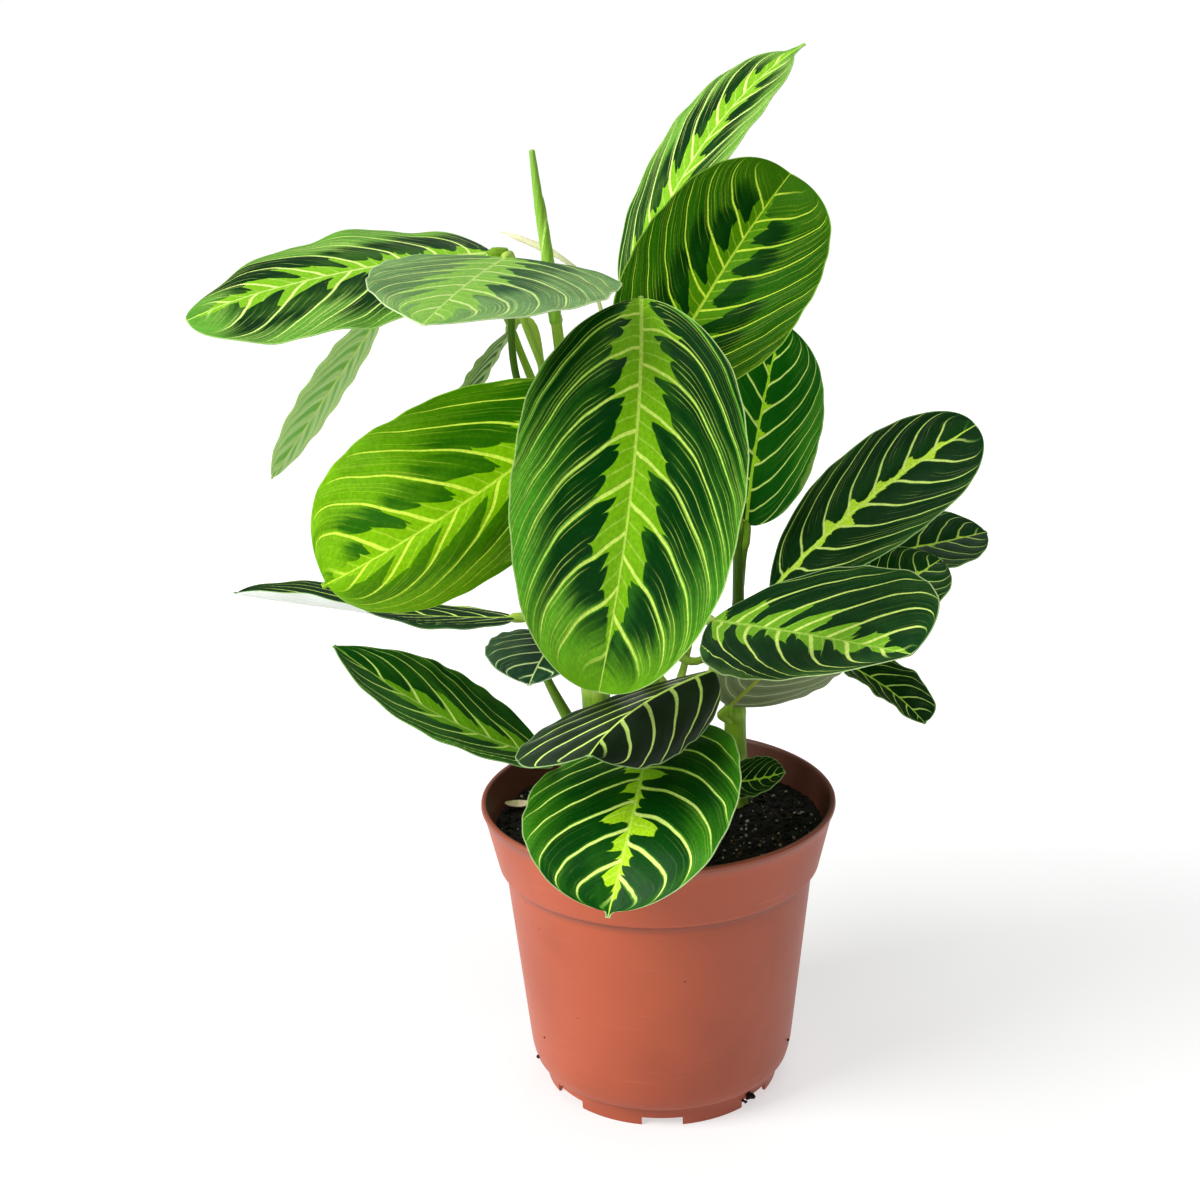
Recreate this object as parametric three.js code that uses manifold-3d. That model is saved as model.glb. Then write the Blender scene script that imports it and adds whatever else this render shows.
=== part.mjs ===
// A potted prayer plant: a maranta in its nursery pot. Millimetres, +Z up.
// Every place below is given with the pot's axis at x = y = 0 and the floor at z = 0.
// The last lines move the whole group so that its bounding box stands centred on the origin.
import * as THREE from 'three';
import { mergeVertices } from 'three/addons/utils/BufferGeometryUtils.js';
import Module from 'manifold-3d';

const wasm = await Module();
wasm.setup();

const V = (p) => new THREE.Vector3(p[0], p[1], p[2]);
const DEG = Math.PI / 180;
const GAP = 0.3; // clearance between neighbours that touch

const potSize = {
  lipRadius: 60, height: 103, wall: 1.2,
  lipDepth: 2.2, lipWidth: 1.7, // rolled edge
  collarFoot: 81, collarFootRadius: 54.8, collarTopRadius: 58.6, collarTop: 98,
  bodyTop: 79, bodyTopRadius: 52.5, bodyFoot: 14, bodyFootRadius: 45.7,
  creaseHeight: 7.5, creaseRadius: 41, footRadius: 40.6, floorTop: 8.7,
  notchCount: 7, notchWidth: 13.7, notchHeight: 3, notchTurn: -92,
  drainCount: 7, drainRadius: 4.5, drainCircle: 27,
  segments: 56,
};

const soilSize = { top: 92, bump: 0.7, rings: 6, segments: 42, holeDepth: 26, chamfer: 3 };

// Canes: points of the centre line from inside the soil upward, with the radius at each point.
const canes = {
  left: { points: [[-18, 0, 68], [-18, 0, 82], [-18, 0, 96], [-20, 2, 128], [-21, 5, 165], [-25, 8, 204]],
    radii: [3.6, 4, 4.4, 4.8, 4.2, 2.2] },
  middle: { points: [[2, 5, 68], [2, 5, 82], [2, 5, 96], [-1, 7, 130], [-4, 7, 170], [-6, 6, 212]],
    radii: [3.2, 3.6, 4, 4.2, 3.6, 2] },
  right: { points: [[28, 15, 68], [28, 15, 82], [28, 15, 96], [27.5, 16, 124], [28, 16, 150], [29, 17, 172]],
    radii: [3, 3.4, 3.7, 3.6, 2.8, 1.8] },
};

// Leaves. base, belly and tip are points of the midrib: where the blade starts, its middle and its end.
// face is the way the upper side looks, as azimuth (0 is toward -Y) and height in degrees.
// cup is how far each half curls from midrib to margin, fold the angle at the midrib (degrees).
// root and blunt shape the outline at the base and the tip, widest is where it is widest along the blade.
// stalk: the cane it grows from, how far up that cane, and the points that its stalk passes.
const leaves = {
  leaf_top_left: { base: [-49, 4, 285], belly: [-93, -10, 282], tip: [-139, -28, 272], width: 51,
    face: [-15, 58], cup: [-14, -14], fold: 0, wave: 1.2, hook: 2, root: 0.66, widest: 0.56,
    stalk: { cane: 'left', at: 0.86, via: [[-43, 6, 246], [-44, 7, 270]], reach: 4 } },
  leaf_draped: { base: [-44, -10, 285], belly: [-53, -54, 283], tip: [-62, -98, 278], width: 71,
    face: [0, 84], cup: [-10, 8], fold: 0, widest: 0.36, root: 0.45, blunt: 0.95, skew: -0.15,
    stalk: { cane: 'left', at: 0.97, via: [[-34, 3, 247], [-40, -1, 266]], reach: 4 } },
  leaf_hanging: { base: [-89, 30, 262], belly: [-107, 24, 239], tip: [-125, 16, 216], width: 36,
    face: [-111, 31], cup: [2, 2], fold: 2,
    stalk: { cane: 'left', at: 0.93, via: [[-40, 13, 248], [-52, 20, 272], [-74, 30, 277]], reach: 8 } },
  leaf_narrow_back: { base: [-45, 16, 259], belly: [-54, 22, 244], tip: [-65, 26, 224], width: 34,
    face: [-104, 33], cup: [4, 4],
    stalk: { cane: 'left', at: 0.8, via: [[-34, 12, 240], [-38, 13, 262]], reach: 5 } },
  leaf_top: { base: [-6, 30, 267], belly: [20, 44, 315], tip: [54, 56, 345], width: 39,
    face: [-56, 25], cup: [4, 4], fold: 3,
    stalk: { cane: 'middle', at: 0.95, via: [[-9, 14, 240]], reach: 8 } },
  leaf_upper_right: { base: [1, -8, 244], belly: [23, 4, 278], tip: [47, 33, 305], width: 56,
    face: [10, 25], cup: [10, 10], skew: 0.02, widest: 0.45, shear: 0.12, blunt: 0.52,
    stalk: { cane: 'middle', at: 0.9, via: [[-4, -2, 226]], reach: 7 } },
  leaf_front_big: { base: [-4, -42, 276], belly: [-8, -66, 228], tip: [-19, -68, 165], width: 67,
    face: [0, 15], cup: [10, 10], skew: 0.03, root: 0.68, blunt: 0.5,
    stalk: { cane: 'middle', at: 1, via: [[-9, -13, 236], [-7, -26, 262], [-5, -35, 276]], reach: 3 } },
  leaf_lime: { base: [-17, -18, 241], belly: [-60, -46, 216], tip: [-99, -60, 197], width: 61,
    face: [-10, 30], cup: [-85, 5], blunt: 0.5, skew: 0.12, shear: 0.1, root: 0.45,
    stalk: { cane: 'middle', at: 0.85, via: [[-10, -4, 222]], reach: 6 } },
  leaf_behind: { base: [31, 12, 193], belly: [36, 18, 227], tip: [45, 34, 257], width: 41,
    face: [0, 20], cup: [10, 10],
    stalk: { cane: 'right', at: 0.99, via: [], reach: 8 } },
  leaf_right: { base: [39, 14, 169], belly: [72, 22, 198], tip: [111, 36, 220], width: 38,
    face: [-10, 35], cup: [10, 10], root: 0.9, skew: 0.1, blunt: 0.5, widest: 0.6,
    stalk: { cane: 'middle', at: 0.5, via: [[13, 6, 148]], reach: 8 } },
  leaf_far_right: { base: [69, 32, 175], belly: [96, 40, 177], tip: [119, 48, 179], width: 30,
    face: [0, 60], cup: [10, 10],
    stalk: { cane: 'right', at: 0.75, via: [[44, 26, 166]], reach: 6 } },
  leaf_tucked: { base: [67, 4, 163], belly: [83, 12, 171], tip: [98, 22, 177], width: 30,
    face: [0, 60], cup: [10, 10],
    stalk: { cane: 'right', at: 0.55, via: [[44, 10, 152]], reach: 6 } },
  leaf_right_front: { base: [19, 4, 163], belly: [48, -32, 169], tip: [72, -70, 175], width: 64,
    face: [0, 58], cup: [15, 10], widest: 0.58, shear: -0.12, root: 0.8,
    stalk: { cane: 'middle', at: 0.32, via: [[6, 6, 138]], reach: 7 } },
  leaf_underside: { base: [25, 8, 131], belly: [40, 0, 149], tip: [56, -7, 166], width: 50,
    face: [-169, 34], cup: [10, 10], skew: -0.28,
    stalk: { cane: 'right', at: 0.25, via: [], reach: 5 } },
  leaf_crumpled: { base: [60, 30, 141], belly: [79, 19, 133], tip: [91, 5, 124], width: 21,
    face: [20, 62], cup: [10, 10], fold: 20, wave: 0.8, blunt: 0.35, root: 0.9,
    stalk: { cane: 'right', at: 0.4, via: [[43, 26, 145]], reach: 6 } },
  leaf_edge_left: { base: [-47, 6, 165], belly: [-90, 0, 170], tip: [-137, -4, 179], width: 46,
    face: [180, 84], cup: [-8, -8],
    stalk: { cane: 'left', at: 0.3, via: [[-32, 5, 152]], reach: 6 } },
  leaf_lower_left: { base: [-37, -26, 128], belly: [-69, -36, 147], tip: [-101, -32, 170], width: 42,
    face: [0, 77], cup: [15, 15], fold: 6, hook: 1, blunt: 1.1, widest: 0.38,
    stalk: { cane: 'left', at: 0.2, via: [[-24, -10, 118]], reach: 7 } },
  leaf_small: { base: [-29, -8, 164], belly: [-35, -32, 166], tip: [-40, -52, 162], width: 38,
    face: [-20, 60], cup: [10, 10],
    stalk: { cane: 'left', at: 0.45, via: [], reach: 5 } },
  leaf_arched: { base: [18, -14, 152], belly: [-7, -56, 156], tip: [-22, -92, 155], width: 54,
    face: [-20, 75], cup: [-40, 10], fold: -28, skew: 0.3, shear: 0.25,
    stalk: { cane: 'middle', at: 0.25, via: [[10, -1, 141]], reach: 6 } },
  leaf_front_low: { base: [-3, -12, 127], belly: [-9, -56, 123], tip: [-18, -80, 98], width: 66,
    face: [-15, 35], cup: [10, 10], shear: 0.16, blunt: 0.55,
    stalk: { cane: 'middle', at: 0.2, via: [], reach: 6 } },
  leaf_little: { base: [18, -6, 109], belly: [30, -14, 113], tip: [41, -20, 118], width: 18,
    face: [0, 60], cup: [10, 10],
    stalk: { cane: 'middle', at: 0.08, via: [[10, 0, 103]], reach: 4 } },
};

const blade = { thickness: 0.7, tipWidth: 1.6, footGap: 0.95, alongSteps: 14, acrossSteps: 6 };
const stalk = { sheathRadius: 2.3, radius: 1.25, jointRadius: 1.7, jointLength: 7, sides: 6, step: 9 };

// The new leaf, still furled: points of its centre line with the radius at each.
const spikeSize = { points: [[-29.9, 12, 262.2], [-31.6, 12, 278.5], [-33.8, 12, 297], [-35.7, 12, 315]],
  radii: [2.4, 2.3, 1.9, 1], sides: 8 };
const spikeStalk = { cane: 'left', at: 1, via: [[-27.5, 10.5, 238]] };

// The flower stalk leaves the middle cane behind the big front leaf and leans out to the left.
const flowerSize = { points: [[-9.3, 6.5, 205], [-10.5, 8, 222], [-14, 13, 248], [-18, 17, 266],
  [-28, 19, 278], [-39, 20, 284], [-50, 21, 290]], radii: [0.7, 0.7, 0.7, 0.7, 0.75, 1.2, 0.4], sides: 6 };

// A dry scrap of sheath that lies on the soil.
const scrapSize = { middle: [-48, 14.6], length: 10, width: 3.4, thickness: 0.9, turn: -8 };

const colours = {
  pot: { color: 0xb5604a, roughness: 0.5, metalness: 0 },
  soil: { color: 0x1d1612, roughness: 0.95, metalness: 0 },
  cane: { color: 0x7d9a3c, roughness: 0.55, metalness: 0 },
  blade: { color: 0x2c5a1e, roughness: 0.45, metalness: 0 },
  lime: { color: 0x8fc31f, roughness: 0.45, metalness: 0 },
  spike: { color: 0x9cc653, roughness: 0.5, metalness: 0 },
  flower: { color: 0xd9d8a0, roughness: 0.6, metalness: 0 },
  scrap: { color: 0xbfa777, roughness: 0.9, metalness: 0 },
};

const materials = {};
for (const [name, look] of Object.entries(colours)) {
  materials[name] = new THREE.MeshStandardMaterial(look);
}

// Boolean helpers: a three.js geometry to a manifold solid and back.
function toSolid(geometry) {
  const bare = geometry.clone();
  for (const name of Object.keys(bare.attributes)) {
    if (name !== 'position') bare.deleteAttribute(name);
  }
  const merged = mergeVertices(bare, 1e-4);
  return new wasm.Manifold(new wasm.Mesh({
    numProp: 3,
    vertProperties: new Float32Array(merged.attributes.position.array),
    triVerts: new Uint32Array(merged.index.array),
  }));
}

function toGeometry(solid) {
  const mesh = solid.getMesh();
  const geometry = new THREE.BufferGeometry();
  geometry.setAttribute('position', new THREE.BufferAttribute(new Float32Array(mesh.vertProperties), 3));
  geometry.setIndex(new THREE.BufferAttribute(new Uint32Array(mesh.triVerts), 1));
  return geometry;
}

// A solid lathed from [radius, height] points that go round the section counter-clockwise.
function lathe(points, segments) {
  return new THREE.LatheGeometry(points.map(([r, z]) => new THREE.Vector2(r, z)), segments)
    .rotateX(Math.PI / 2);
}

// A tube along a smooth curve through the points, with its own radius at each point and flat ends.
function tube(points, radii, sides, rings) {
  const curve = new THREE.CatmullRomCurve3(points.map(V), false, 'centripetal');
  const frames = curve.computeFrenetFrames(rings, false);
  const spots = [];
  const faces = [];
  for (let i = 0; i <= rings; i++) {
    const centre = curve.getPointAt(i / rings);
    const share = curve.getUtoTmapping(i / rings) * (radii.length - 1);
    const low = Math.min(Math.floor(share), radii.length - 2);
    const radius = THREE.MathUtils.lerp(radii[low], radii[low + 1], share - low);
    for (let k = 0; k < sides; k++) {
      const turn = (2 * Math.PI * k) / sides;
      const spot = centre.clone().addScaledVector(frames.normals[i], radius * Math.cos(turn))
        .addScaledVector(frames.binormals[i], radius * Math.sin(turn));
      spots.push(spot.x, spot.y, spot.z);
    }
  }
  for (let i = 0; i < rings; i++) {
    for (let k = 0; k < sides; k++) {
      const a = i * sides + k;
      const b = i * sides + ((k + 1) % sides);
      faces.push(a, b, a + sides, b, b + sides, a + sides);
    }
  }
  for (let k = 1; k < sides - 1; k++) {
    const top = rings * sides;
    faces.push(0, k + 1, k, top, top + k, top + k + 1);
  }
  const geometry = new THREE.BufferGeometry();
  geometry.setAttribute('position', new THREE.BufferAttribute(new Float32Array(spots), 3));
  geometry.setIndex(faces);
  return geometry;
}

// Pot: foot ring, rounded corner, tapered body, stepped and flared collar, rolled lip, then back down inside.
function makePot() {
  const p = potSize;
  const wall = p.wall;
  const floorUnder = p.floorTop - wall;
  const profile = [
    [p.footRadius - 1.3, 0], [p.footRadius, 0], [p.creaseRadius, p.creaseHeight],
    [p.creaseRadius + 2.4, p.creaseHeight + 0.2], [p.creaseRadius + 3.7, p.creaseHeight + 2],
    [p.bodyFootRadius, p.bodyFoot], [p.bodyTopRadius, p.bodyTop],
    [p.collarFootRadius, p.collarFoot], [p.collarTopRadius, p.collarTop],
    [p.lipRadius - 0.3, p.height - p.lipDepth], [p.lipRadius, p.height - 1],
    [p.lipRadius - 0.5, p.height], [p.lipRadius - p.lipWidth, p.height],
    [p.lipRadius - p.lipWidth - 0.3, p.height - 1], [p.collarTopRadius - wall - 0.2, p.collarTop],
    [p.collarFootRadius - wall, p.collarFoot + 0.8], [p.bodyTopRadius - wall, p.bodyTop - 0.8],
    [p.bodyFootRadius - wall, p.bodyFoot], [p.creaseRadius + 2.2, p.floorTop],
    [0, p.floorTop], [0, floorUnder], [p.footRadius - 1.3, floorUnder - 0.3],
  ];
  let solid = toSolid(lathe(profile.concat([profile[0]]), p.segments));
  const notch = new THREE.BoxGeometry(8, p.notchWidth, 2 * p.notchHeight);
  notch.translate(p.footRadius, 0, 0);
  for (let i = 0; i < p.notchCount; i++) {
    const turned = notch.clone().rotateZ((p.notchTurn + (360 * i) / p.notchCount) * DEG);
    solid = solid.subtract(toSolid(turned));
  }
  const drain = new THREE.CylinderGeometry(p.drainRadius, p.drainRadius, 6, 16).rotateX(Math.PI / 2);
  drain.translate(p.drainCircle, 0, p.floorTop - wall / 2);
  for (let i = 0; i < p.drainCount; i++) {
    const turned = drain.clone().rotateZ((p.notchTurn + (360 * (i + 0.5)) / p.drainCount) * DEG);
    solid = solid.subtract(toSolid(turned));
  }
  return toGeometry(solid);
}

// Height of the soil: low waves that fade to level at the rim and under the scrap.
function soilHeight(x, y) {
  const wave = Math.sin(x * 0.21 + 1.3) * Math.cos(y * 0.17 - 0.4) + 0.6 * Math.sin(x * 0.47 - y * 0.39);
  const scrapAway = Math.hypot(x - scrapSize.middle[0], y - scrapSize.middle[1]);
  const fade = THREE.MathUtils.smoothstep(scrapAway, 8, 18);
  return soilSize.top + soilSize.bump * wave * fade;
}

// Inner radius of the pot at a height, from the same profile as the pot's.
function potInside(z) {
  const p = potSize;
  const stops = [[p.floorTop, p.creaseRadius + 2.2], [p.bodyFoot, p.bodyFootRadius - p.wall],
    [p.bodyTop - 0.8, p.bodyTopRadius - p.wall], [p.collarFoot + 0.8, p.collarFootRadius - p.wall],
    [p.collarTop, p.collarTopRadius - p.wall - 0.2]];
  let at = 0;
  while (at < stops.length - 2 && z > stops[at + 1][0]) at++;
  const share = (z - stops[at][0]) / (stops[at + 1][0] - stops[at][0]);
  return THREE.MathUtils.lerp(stops[at][1], stops[at + 1][1], share);
}

// Soil: fills the pot, its top a wavy disc of rings, with a plain hole for each cane.
function makeSoil() {
  const s = soilSize;
  const p = potSize;
  const edge = s.top - s.chamfer;
  const levels = [p.floorTop + GAP, p.bodyFoot, p.bodyTop - 0.8, p.collarFoot + 0.8, edge];
  const spots = [0, 0, p.floorTop + GAP];
  for (const z of levels) {
    const radius = (potInside(z) - 1.6 * GAP) * Math.cos(Math.PI / s.segments);
    for (let k = 0; k < s.segments; k++) {
      const turn = (2 * Math.PI * k) / s.segments;
      spots.push(radius * Math.cos(turn), radius * Math.sin(turn), z);
    }
  }
  for (let i = s.rings; i >= 1; i--) {
    const radius = ((potInside(edge) - 3 * GAP) * i) / s.rings;
    for (let k = 0; k < s.segments; k++) {
      const turn = (2 * Math.PI * k) / s.segments;
      const x = radius * Math.cos(turn);
      const y = radius * Math.sin(turn);
      spots.push(x, y, soilHeight(x, y) - (i === s.rings ? 1.2 : 0));
    }
  }
  spots.push(0, 0, soilHeight(0, 0));
  const rows = levels.length + s.rings;
  const last = 1 + rows * s.segments;
  const faces = [];
  for (let k = 0; k < s.segments; k++) {
    const next = (k + 1) % s.segments;
    faces.push(0, 1 + next, 1 + k);
    for (let i = 0; i < rows - 1; i++) {
      const a = 1 + i * s.segments + k;
      const b = 1 + i * s.segments + next;
      faces.push(a, b, b + s.segments, a, b + s.segments, a + s.segments);
    }
    faces.push(last, last - s.segments + k, last - s.segments + next);
  }
  const geometry = new THREE.BufferGeometry();
  geometry.setAttribute('position', new THREE.BufferAttribute(new Float32Array(spots), 3));
  geometry.setIndex(faces);
  let solid = toSolid(geometry);
  for (const cane of Object.values(canes)) {
    const radius = cane.radii[2] + 2 * GAP;
    const hole = new THREE.CylinderGeometry(radius, radius, 2 * s.holeDepth, 14).rotateX(Math.PI / 2);
    hole.translate(cane.points[1][0], cane.points[1][1], s.top);
    solid = solid.subtract(toSolid(hole));
  }
  return toGeometry(solid);
}

// Half-width of a blade as a share of its widest, t running from base to tip.
function outline(t, leaf) {
  const widest = leaf.widest ?? 0.5;
  if (t < widest) return (1 - ((widest - t) / widest) ** 2.3) ** (leaf.root ?? 0.5);
  return Math.max(0, 1 - ((t - widest) / (1 - widest)) ** 2.2) ** (leaf.blunt ?? 0.62);
}

// A point of a blade's middle surface: t runs along the midrib, s from one margin (-1) to the other (1).
function bladePoint(leaf, t, s) {
  const base = V(leaf.base);
  const tip = V(leaf.tip);
  const bend = V(leaf.belly).multiplyScalar(2).addScaledVector(base, -0.5).addScaledVector(tip, -0.5);
  const spine = new THREE.QuadraticBezierCurve3(base, bend, tip);
  const along = spine.getTangent(t);
  const azimuth = leaf.face[0] * DEG;
  const height = leaf.face[1] * DEG;
  const face = new THREE.Vector3(Math.sin(azimuth) * Math.cos(height),
    -Math.cos(azimuth) * Math.cos(height), Math.sin(height));
  const side = new THREE.Vector3().crossVectors(along, face).normalize();
  const up = new THREE.Vector3().crossVectors(side, along);
  const sign = s < 0 ? -1 : 1;
  const a = Math.abs(s);
  const half = Math.max((leaf.width / 2) * outline(t, leaf) * (1 + (leaf.skew ?? 0) * sign),
    blade.tipWidth / 2);
  const cup = (leaf.cup[s < 0 ? 0 : 1] || 0.1) * DEG;
  const fold = (leaf.fold ?? 4) * DEG;
  const out = (half * (Math.sin(fold + cup * a) - Math.sin(fold))) / cup;
  const beat = (leaf.waves ?? 3) * t + (s < 0 ? 0.37 : 0);
  const wave = (leaf.wave ?? 0) * a ** 2.5 * Math.sin(2 * Math.PI * beat) * Math.sqrt(Math.sin(Math.PI * t));
  const rise = (half * (Math.cos(fold) - Math.cos(fold + cup * a))) / cup + wave
    - (leaf.hook ?? 0) * Math.max(0, (t - 0.75) / 0.25) ** 2;
  return spine.getPoint(t).addScaledVector(side, sign * out)
    .addScaledVector(along, sign * out * (leaf.shear ?? 0)).addScaledVector(up, rise);
}

// A blade: the middle surface moved half a thickness to each side, split alike on both faces.
function makeBlade(leaf) {
  const n = blade.alongSteps;
  const m = blade.acrossSteps;
  const start = blade.footGap / V(leaf.belly).distanceTo(V(leaf.base)) / 2;
  const spots = [];
  for (const face of [1, -1]) {
    for (let i = 0; i <= n; i++) {
      const t = start + (1 - start) * (0.5 - 0.5 * Math.cos((Math.PI * i) / n));
      for (let j = 0; j <= m; j++) {
        const s = (2 * j) / m - 1;
        const e = 1e-3;
        const point = bladePoint(leaf, t, s);
        const dt = bladePoint(leaf, Math.min(1, t + e), s).sub(bladePoint(leaf, Math.max(0, t - e), s));
        const ds = bladePoint(leaf, t, Math.min(1, s + e)).sub(bladePoint(leaf, t, Math.max(-1, s - e)));
        const normal = ds.cross(dt).normalize();
        point.addScaledVector(normal, (face * blade.thickness) / 2);
        spots.push(point.x, point.y, point.z);
      }
    }
  }
  const under = (n + 1) * (m + 1);
  const faces = [];
  const quad = (a, b, c, d) => faces.push(a, b, c, a, c, d);
  for (let i = 0; i < n; i++) {
    for (let j = 0; j < m; j++) {
      const a = i * (m + 1) + j;
      const b = a + 1;
      const c = b + m + 1;
      const d = a + m + 1;
      faces.push(a, b, c, a, c, d);
      faces.push(under + a, under + c, under + b, under + a, under + d, under + c);
    }
    const left = i * (m + 1);
    const right = left + m;
    quad(left, left + m + 1, under + left + m + 1, under + left);
    quad(right + m + 1, right, under + right, under + right + m + 1);
  }
  for (let j = 0; j < m; j++) {
    const top = n * (m + 1) + j;
    quad(j + 1, j, under + j, under + j + 1);
    quad(top, top + 1, under + top + 1, under + top);
  }
  const geometry = new THREE.BufferGeometry();
  geometry.setAttribute('position', new THREE.BufferAttribute(new Float32Array(spots), 3));
  geometry.setIndex(faces);
  return geometry;
}

// The points of a stalk: from its cane, past the points given, and straight into the foot of the blade.
function stalkPoints(from, end, heading) {
  const cane = new THREE.CatmullRomCurve3(canes[from.cane].points.map(V), false, 'centripetal');
  const start = cane.getPointAt(0.3 + 0.7 * from.at);
  const before = [1, 0.4].map((share) => V(end).addScaledVector(heading, -share * from.reach).toArray());
  return [start.toArray(), ...from.via, ...before, end];
}

function makeStalk(points) {
  const curve = new THREE.CatmullRomCurve3(points.map(V), false, 'centripetal');
  const length = curve.getLength();
  const rings = Math.max(5, Math.round(length / stalk.step));
  const fine = 24;
  const radii = [];
  for (let i = 0; i <= fine; i++) {
    const share = i / fine;
    const sheath = (stalk.sheathRadius - stalk.radius) * Math.max(0, 1 - share / 0.4);
    const joint = length * (1 - share) < stalk.jointLength ? stalk.jointRadius : stalk.radius;
    radii.push(Math.max(joint, stalk.radius + sheath));
  }
  return taperedTube(curve, radii, stalk.sides, rings);
}

// A tube along a curve whose radii are spread evenly by length.
function taperedTube(curve, radii, sides, rings) {
  const even = [];
  const spread = [];
  for (let i = 0; i <= rings; i++) {
    const share = (i / rings) * (radii.length - 1);
    const low = Math.min(Math.floor(share), radii.length - 2);
    even.push(curve.getPointAt(i / rings).toArray());
    spread.push(THREE.MathUtils.lerp(radii[low], radii[low + 1], share - low));
  }
  return tube(even, spread, sides, rings);
}

// A cane with every stalk that grows from it, joined in one solid.
function makeCane(name) {
  const cane = canes[name];
  let solid = toSolid(tube(cane.points, cane.radii, 8, 9));
  for (const leaf of Object.values(leaves)) {
    if (leaf.stalk.cane !== name) continue;
    const heading = V(leaf.belly).multiplyScalar(2).addScaledVector(V(leaf.base), -1.5)
      .addScaledVector(V(leaf.tip), -0.5).normalize();
    solid = solid.add(toSolid(makeStalk(stalkPoints(leaf.stalk, leaf.base, heading))));
  }
  if (spikeStalk.cane === name) {
    const top = V(spikeSize.points[0]).sub(new THREE.Vector3(0, 0, GAP)).toArray();
    const curve = new THREE.CatmullRomCurve3(canes[name].points.map(V), false, 'centripetal');
    const points = [curve.getPointAt(0.9).toArray(), ...spikeStalk.via, top];
    solid = solid.add(toSolid(tube(points, [2.2, 1.8, 1.7, 1.7], stalk.sides, 10)));
  }
  return toGeometry(solid);
}

function makeScrap() {
  const s = scrapSize;
  const shape = new THREE.Shape();
  shape.moveTo(-s.length / 2, 0);
  shape.quadraticCurveTo(0, s.width / 2, s.length / 2, 0.4);
  shape.quadraticCurveTo(0, -s.width / 2, -s.length / 2, 0);
  const geometry = new THREE.ExtrudeGeometry(shape, { depth: s.thickness, bevelEnabled: false,
    curveSegments: 6 });
  return geometry.rotateZ(s.turn * DEG).translate(s.middle[0], s.middle[1], soilSize.top + GAP);
}

const plant = new THREE.Group();

function place(name, geometry, material) {
  const mesh = new THREE.Mesh(geometry, material);
  mesh.name = name;
  plant.add(mesh);
}

place('pot', makePot(), materials.pot);
place('soil', makeSoil(), materials.soil);
for (const name of Object.keys(canes)) {
  place(`cane_${name}`, makeCane(name), materials.cane);
}
for (const [name, leaf] of Object.entries(leaves)) {
  place(name, makeBlade(leaf), name === 'leaf_lime' ? materials.lime : materials.blade);
}
place('spike', tube(spikeSize.points, spikeSize.radii, spikeSize.sides, 6), materials.spike);
place('flower_stalk', tube(flowerSize.points, flowerSize.radii, flowerSize.sides, 10), materials.flower);
place('dry_sheath', makeScrap(), materials.scrap);

const box = new THREE.Box3().setFromObject(plant);
const middle = box.getCenter(new THREE.Vector3());
plant.position.set(-middle.x, -middle.y, -box.min.z);
plant.updateMatrixWorld(true);

export default plant;
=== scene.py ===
# A potted prayer plant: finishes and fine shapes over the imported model.
# Sizes are in millimetres from the pot's axis at floor level, as in the part's source.
import bpy
import math
import numpy as np
from mathutils import Matrix, Vector


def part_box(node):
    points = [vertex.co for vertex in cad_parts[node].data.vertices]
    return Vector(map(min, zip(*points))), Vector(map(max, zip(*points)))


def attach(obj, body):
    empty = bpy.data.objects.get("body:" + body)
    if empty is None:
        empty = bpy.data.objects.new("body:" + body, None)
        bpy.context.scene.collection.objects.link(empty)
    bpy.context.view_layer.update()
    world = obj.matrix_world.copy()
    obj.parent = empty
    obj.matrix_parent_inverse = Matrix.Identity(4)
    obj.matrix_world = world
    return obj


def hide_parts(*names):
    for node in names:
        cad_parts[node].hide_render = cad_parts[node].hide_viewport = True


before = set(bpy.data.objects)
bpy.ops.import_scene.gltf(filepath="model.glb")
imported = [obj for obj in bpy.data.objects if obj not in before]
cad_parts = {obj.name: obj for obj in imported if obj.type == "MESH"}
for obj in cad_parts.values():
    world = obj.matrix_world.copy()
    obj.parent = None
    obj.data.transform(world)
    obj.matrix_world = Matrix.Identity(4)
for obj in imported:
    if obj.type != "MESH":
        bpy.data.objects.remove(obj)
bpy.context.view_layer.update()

potLow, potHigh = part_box("pot")
potAxis = np.array([(potLow.x + potHigh.x) / 2, (potLow.y + potHigh.y) / 2, 0.0])
mm = 0.001
fullTurn = 2 * np.pi


# Turns rows of vectors into unit vectors
def unit(vectors):
    length = np.linalg.norm(vectors, axis=-1, keepdims=True)
    return vectors / np.maximum(length, 1e-12)


# Smooth ramp from 0 to 1 between two limits
def ramp(low, high, value):
    share = np.clip((value - low) / (high - low), 0, 1)
    return share * share * (3 - 2 * share)


# Angles evenly spread round a circle
def circle(count):
    return fullTurn * np.arange(count) / count


# Two coordinates turned by an angle
def spun(first, second, angle):
    return (first * np.cos(angle) - second * np.sin(angle),
            first * np.sin(angle) + second * np.cos(angle))


# Quads of a grid of points, row by row, closed round the columns when wrap is set
def gridFaces(rows, columns, wrap=False):
    row = np.arange(rows - 1)[:, None]
    column = np.arange(columns if wrap else columns - 1)[None, :]
    corner = row * columns + column
    beside = row * columns + (column + 1) % columns
    return np.stack([corner, beside, beside + columns, corner + columns], -1).reshape(-1, 4)


# Faces of a thin sheet: a grid, the same grid again facing the other way, and the rim between them
def sheetFaces(rows, columns):
    top = gridFaces(rows, columns)
    under = rows * columns
    edge = np.concatenate([np.arange(columns - 1), np.arange(columns - 1, under - 1, columns),
                           np.arange(under - 1, under - columns, -1),
                           np.arange(under - columns, 0, -columns)])
    after = np.roll(edge, -1)
    return [top, top[:, ::-1] + under, np.stack([after, edge, edge + under, after + under], -1)]


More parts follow.
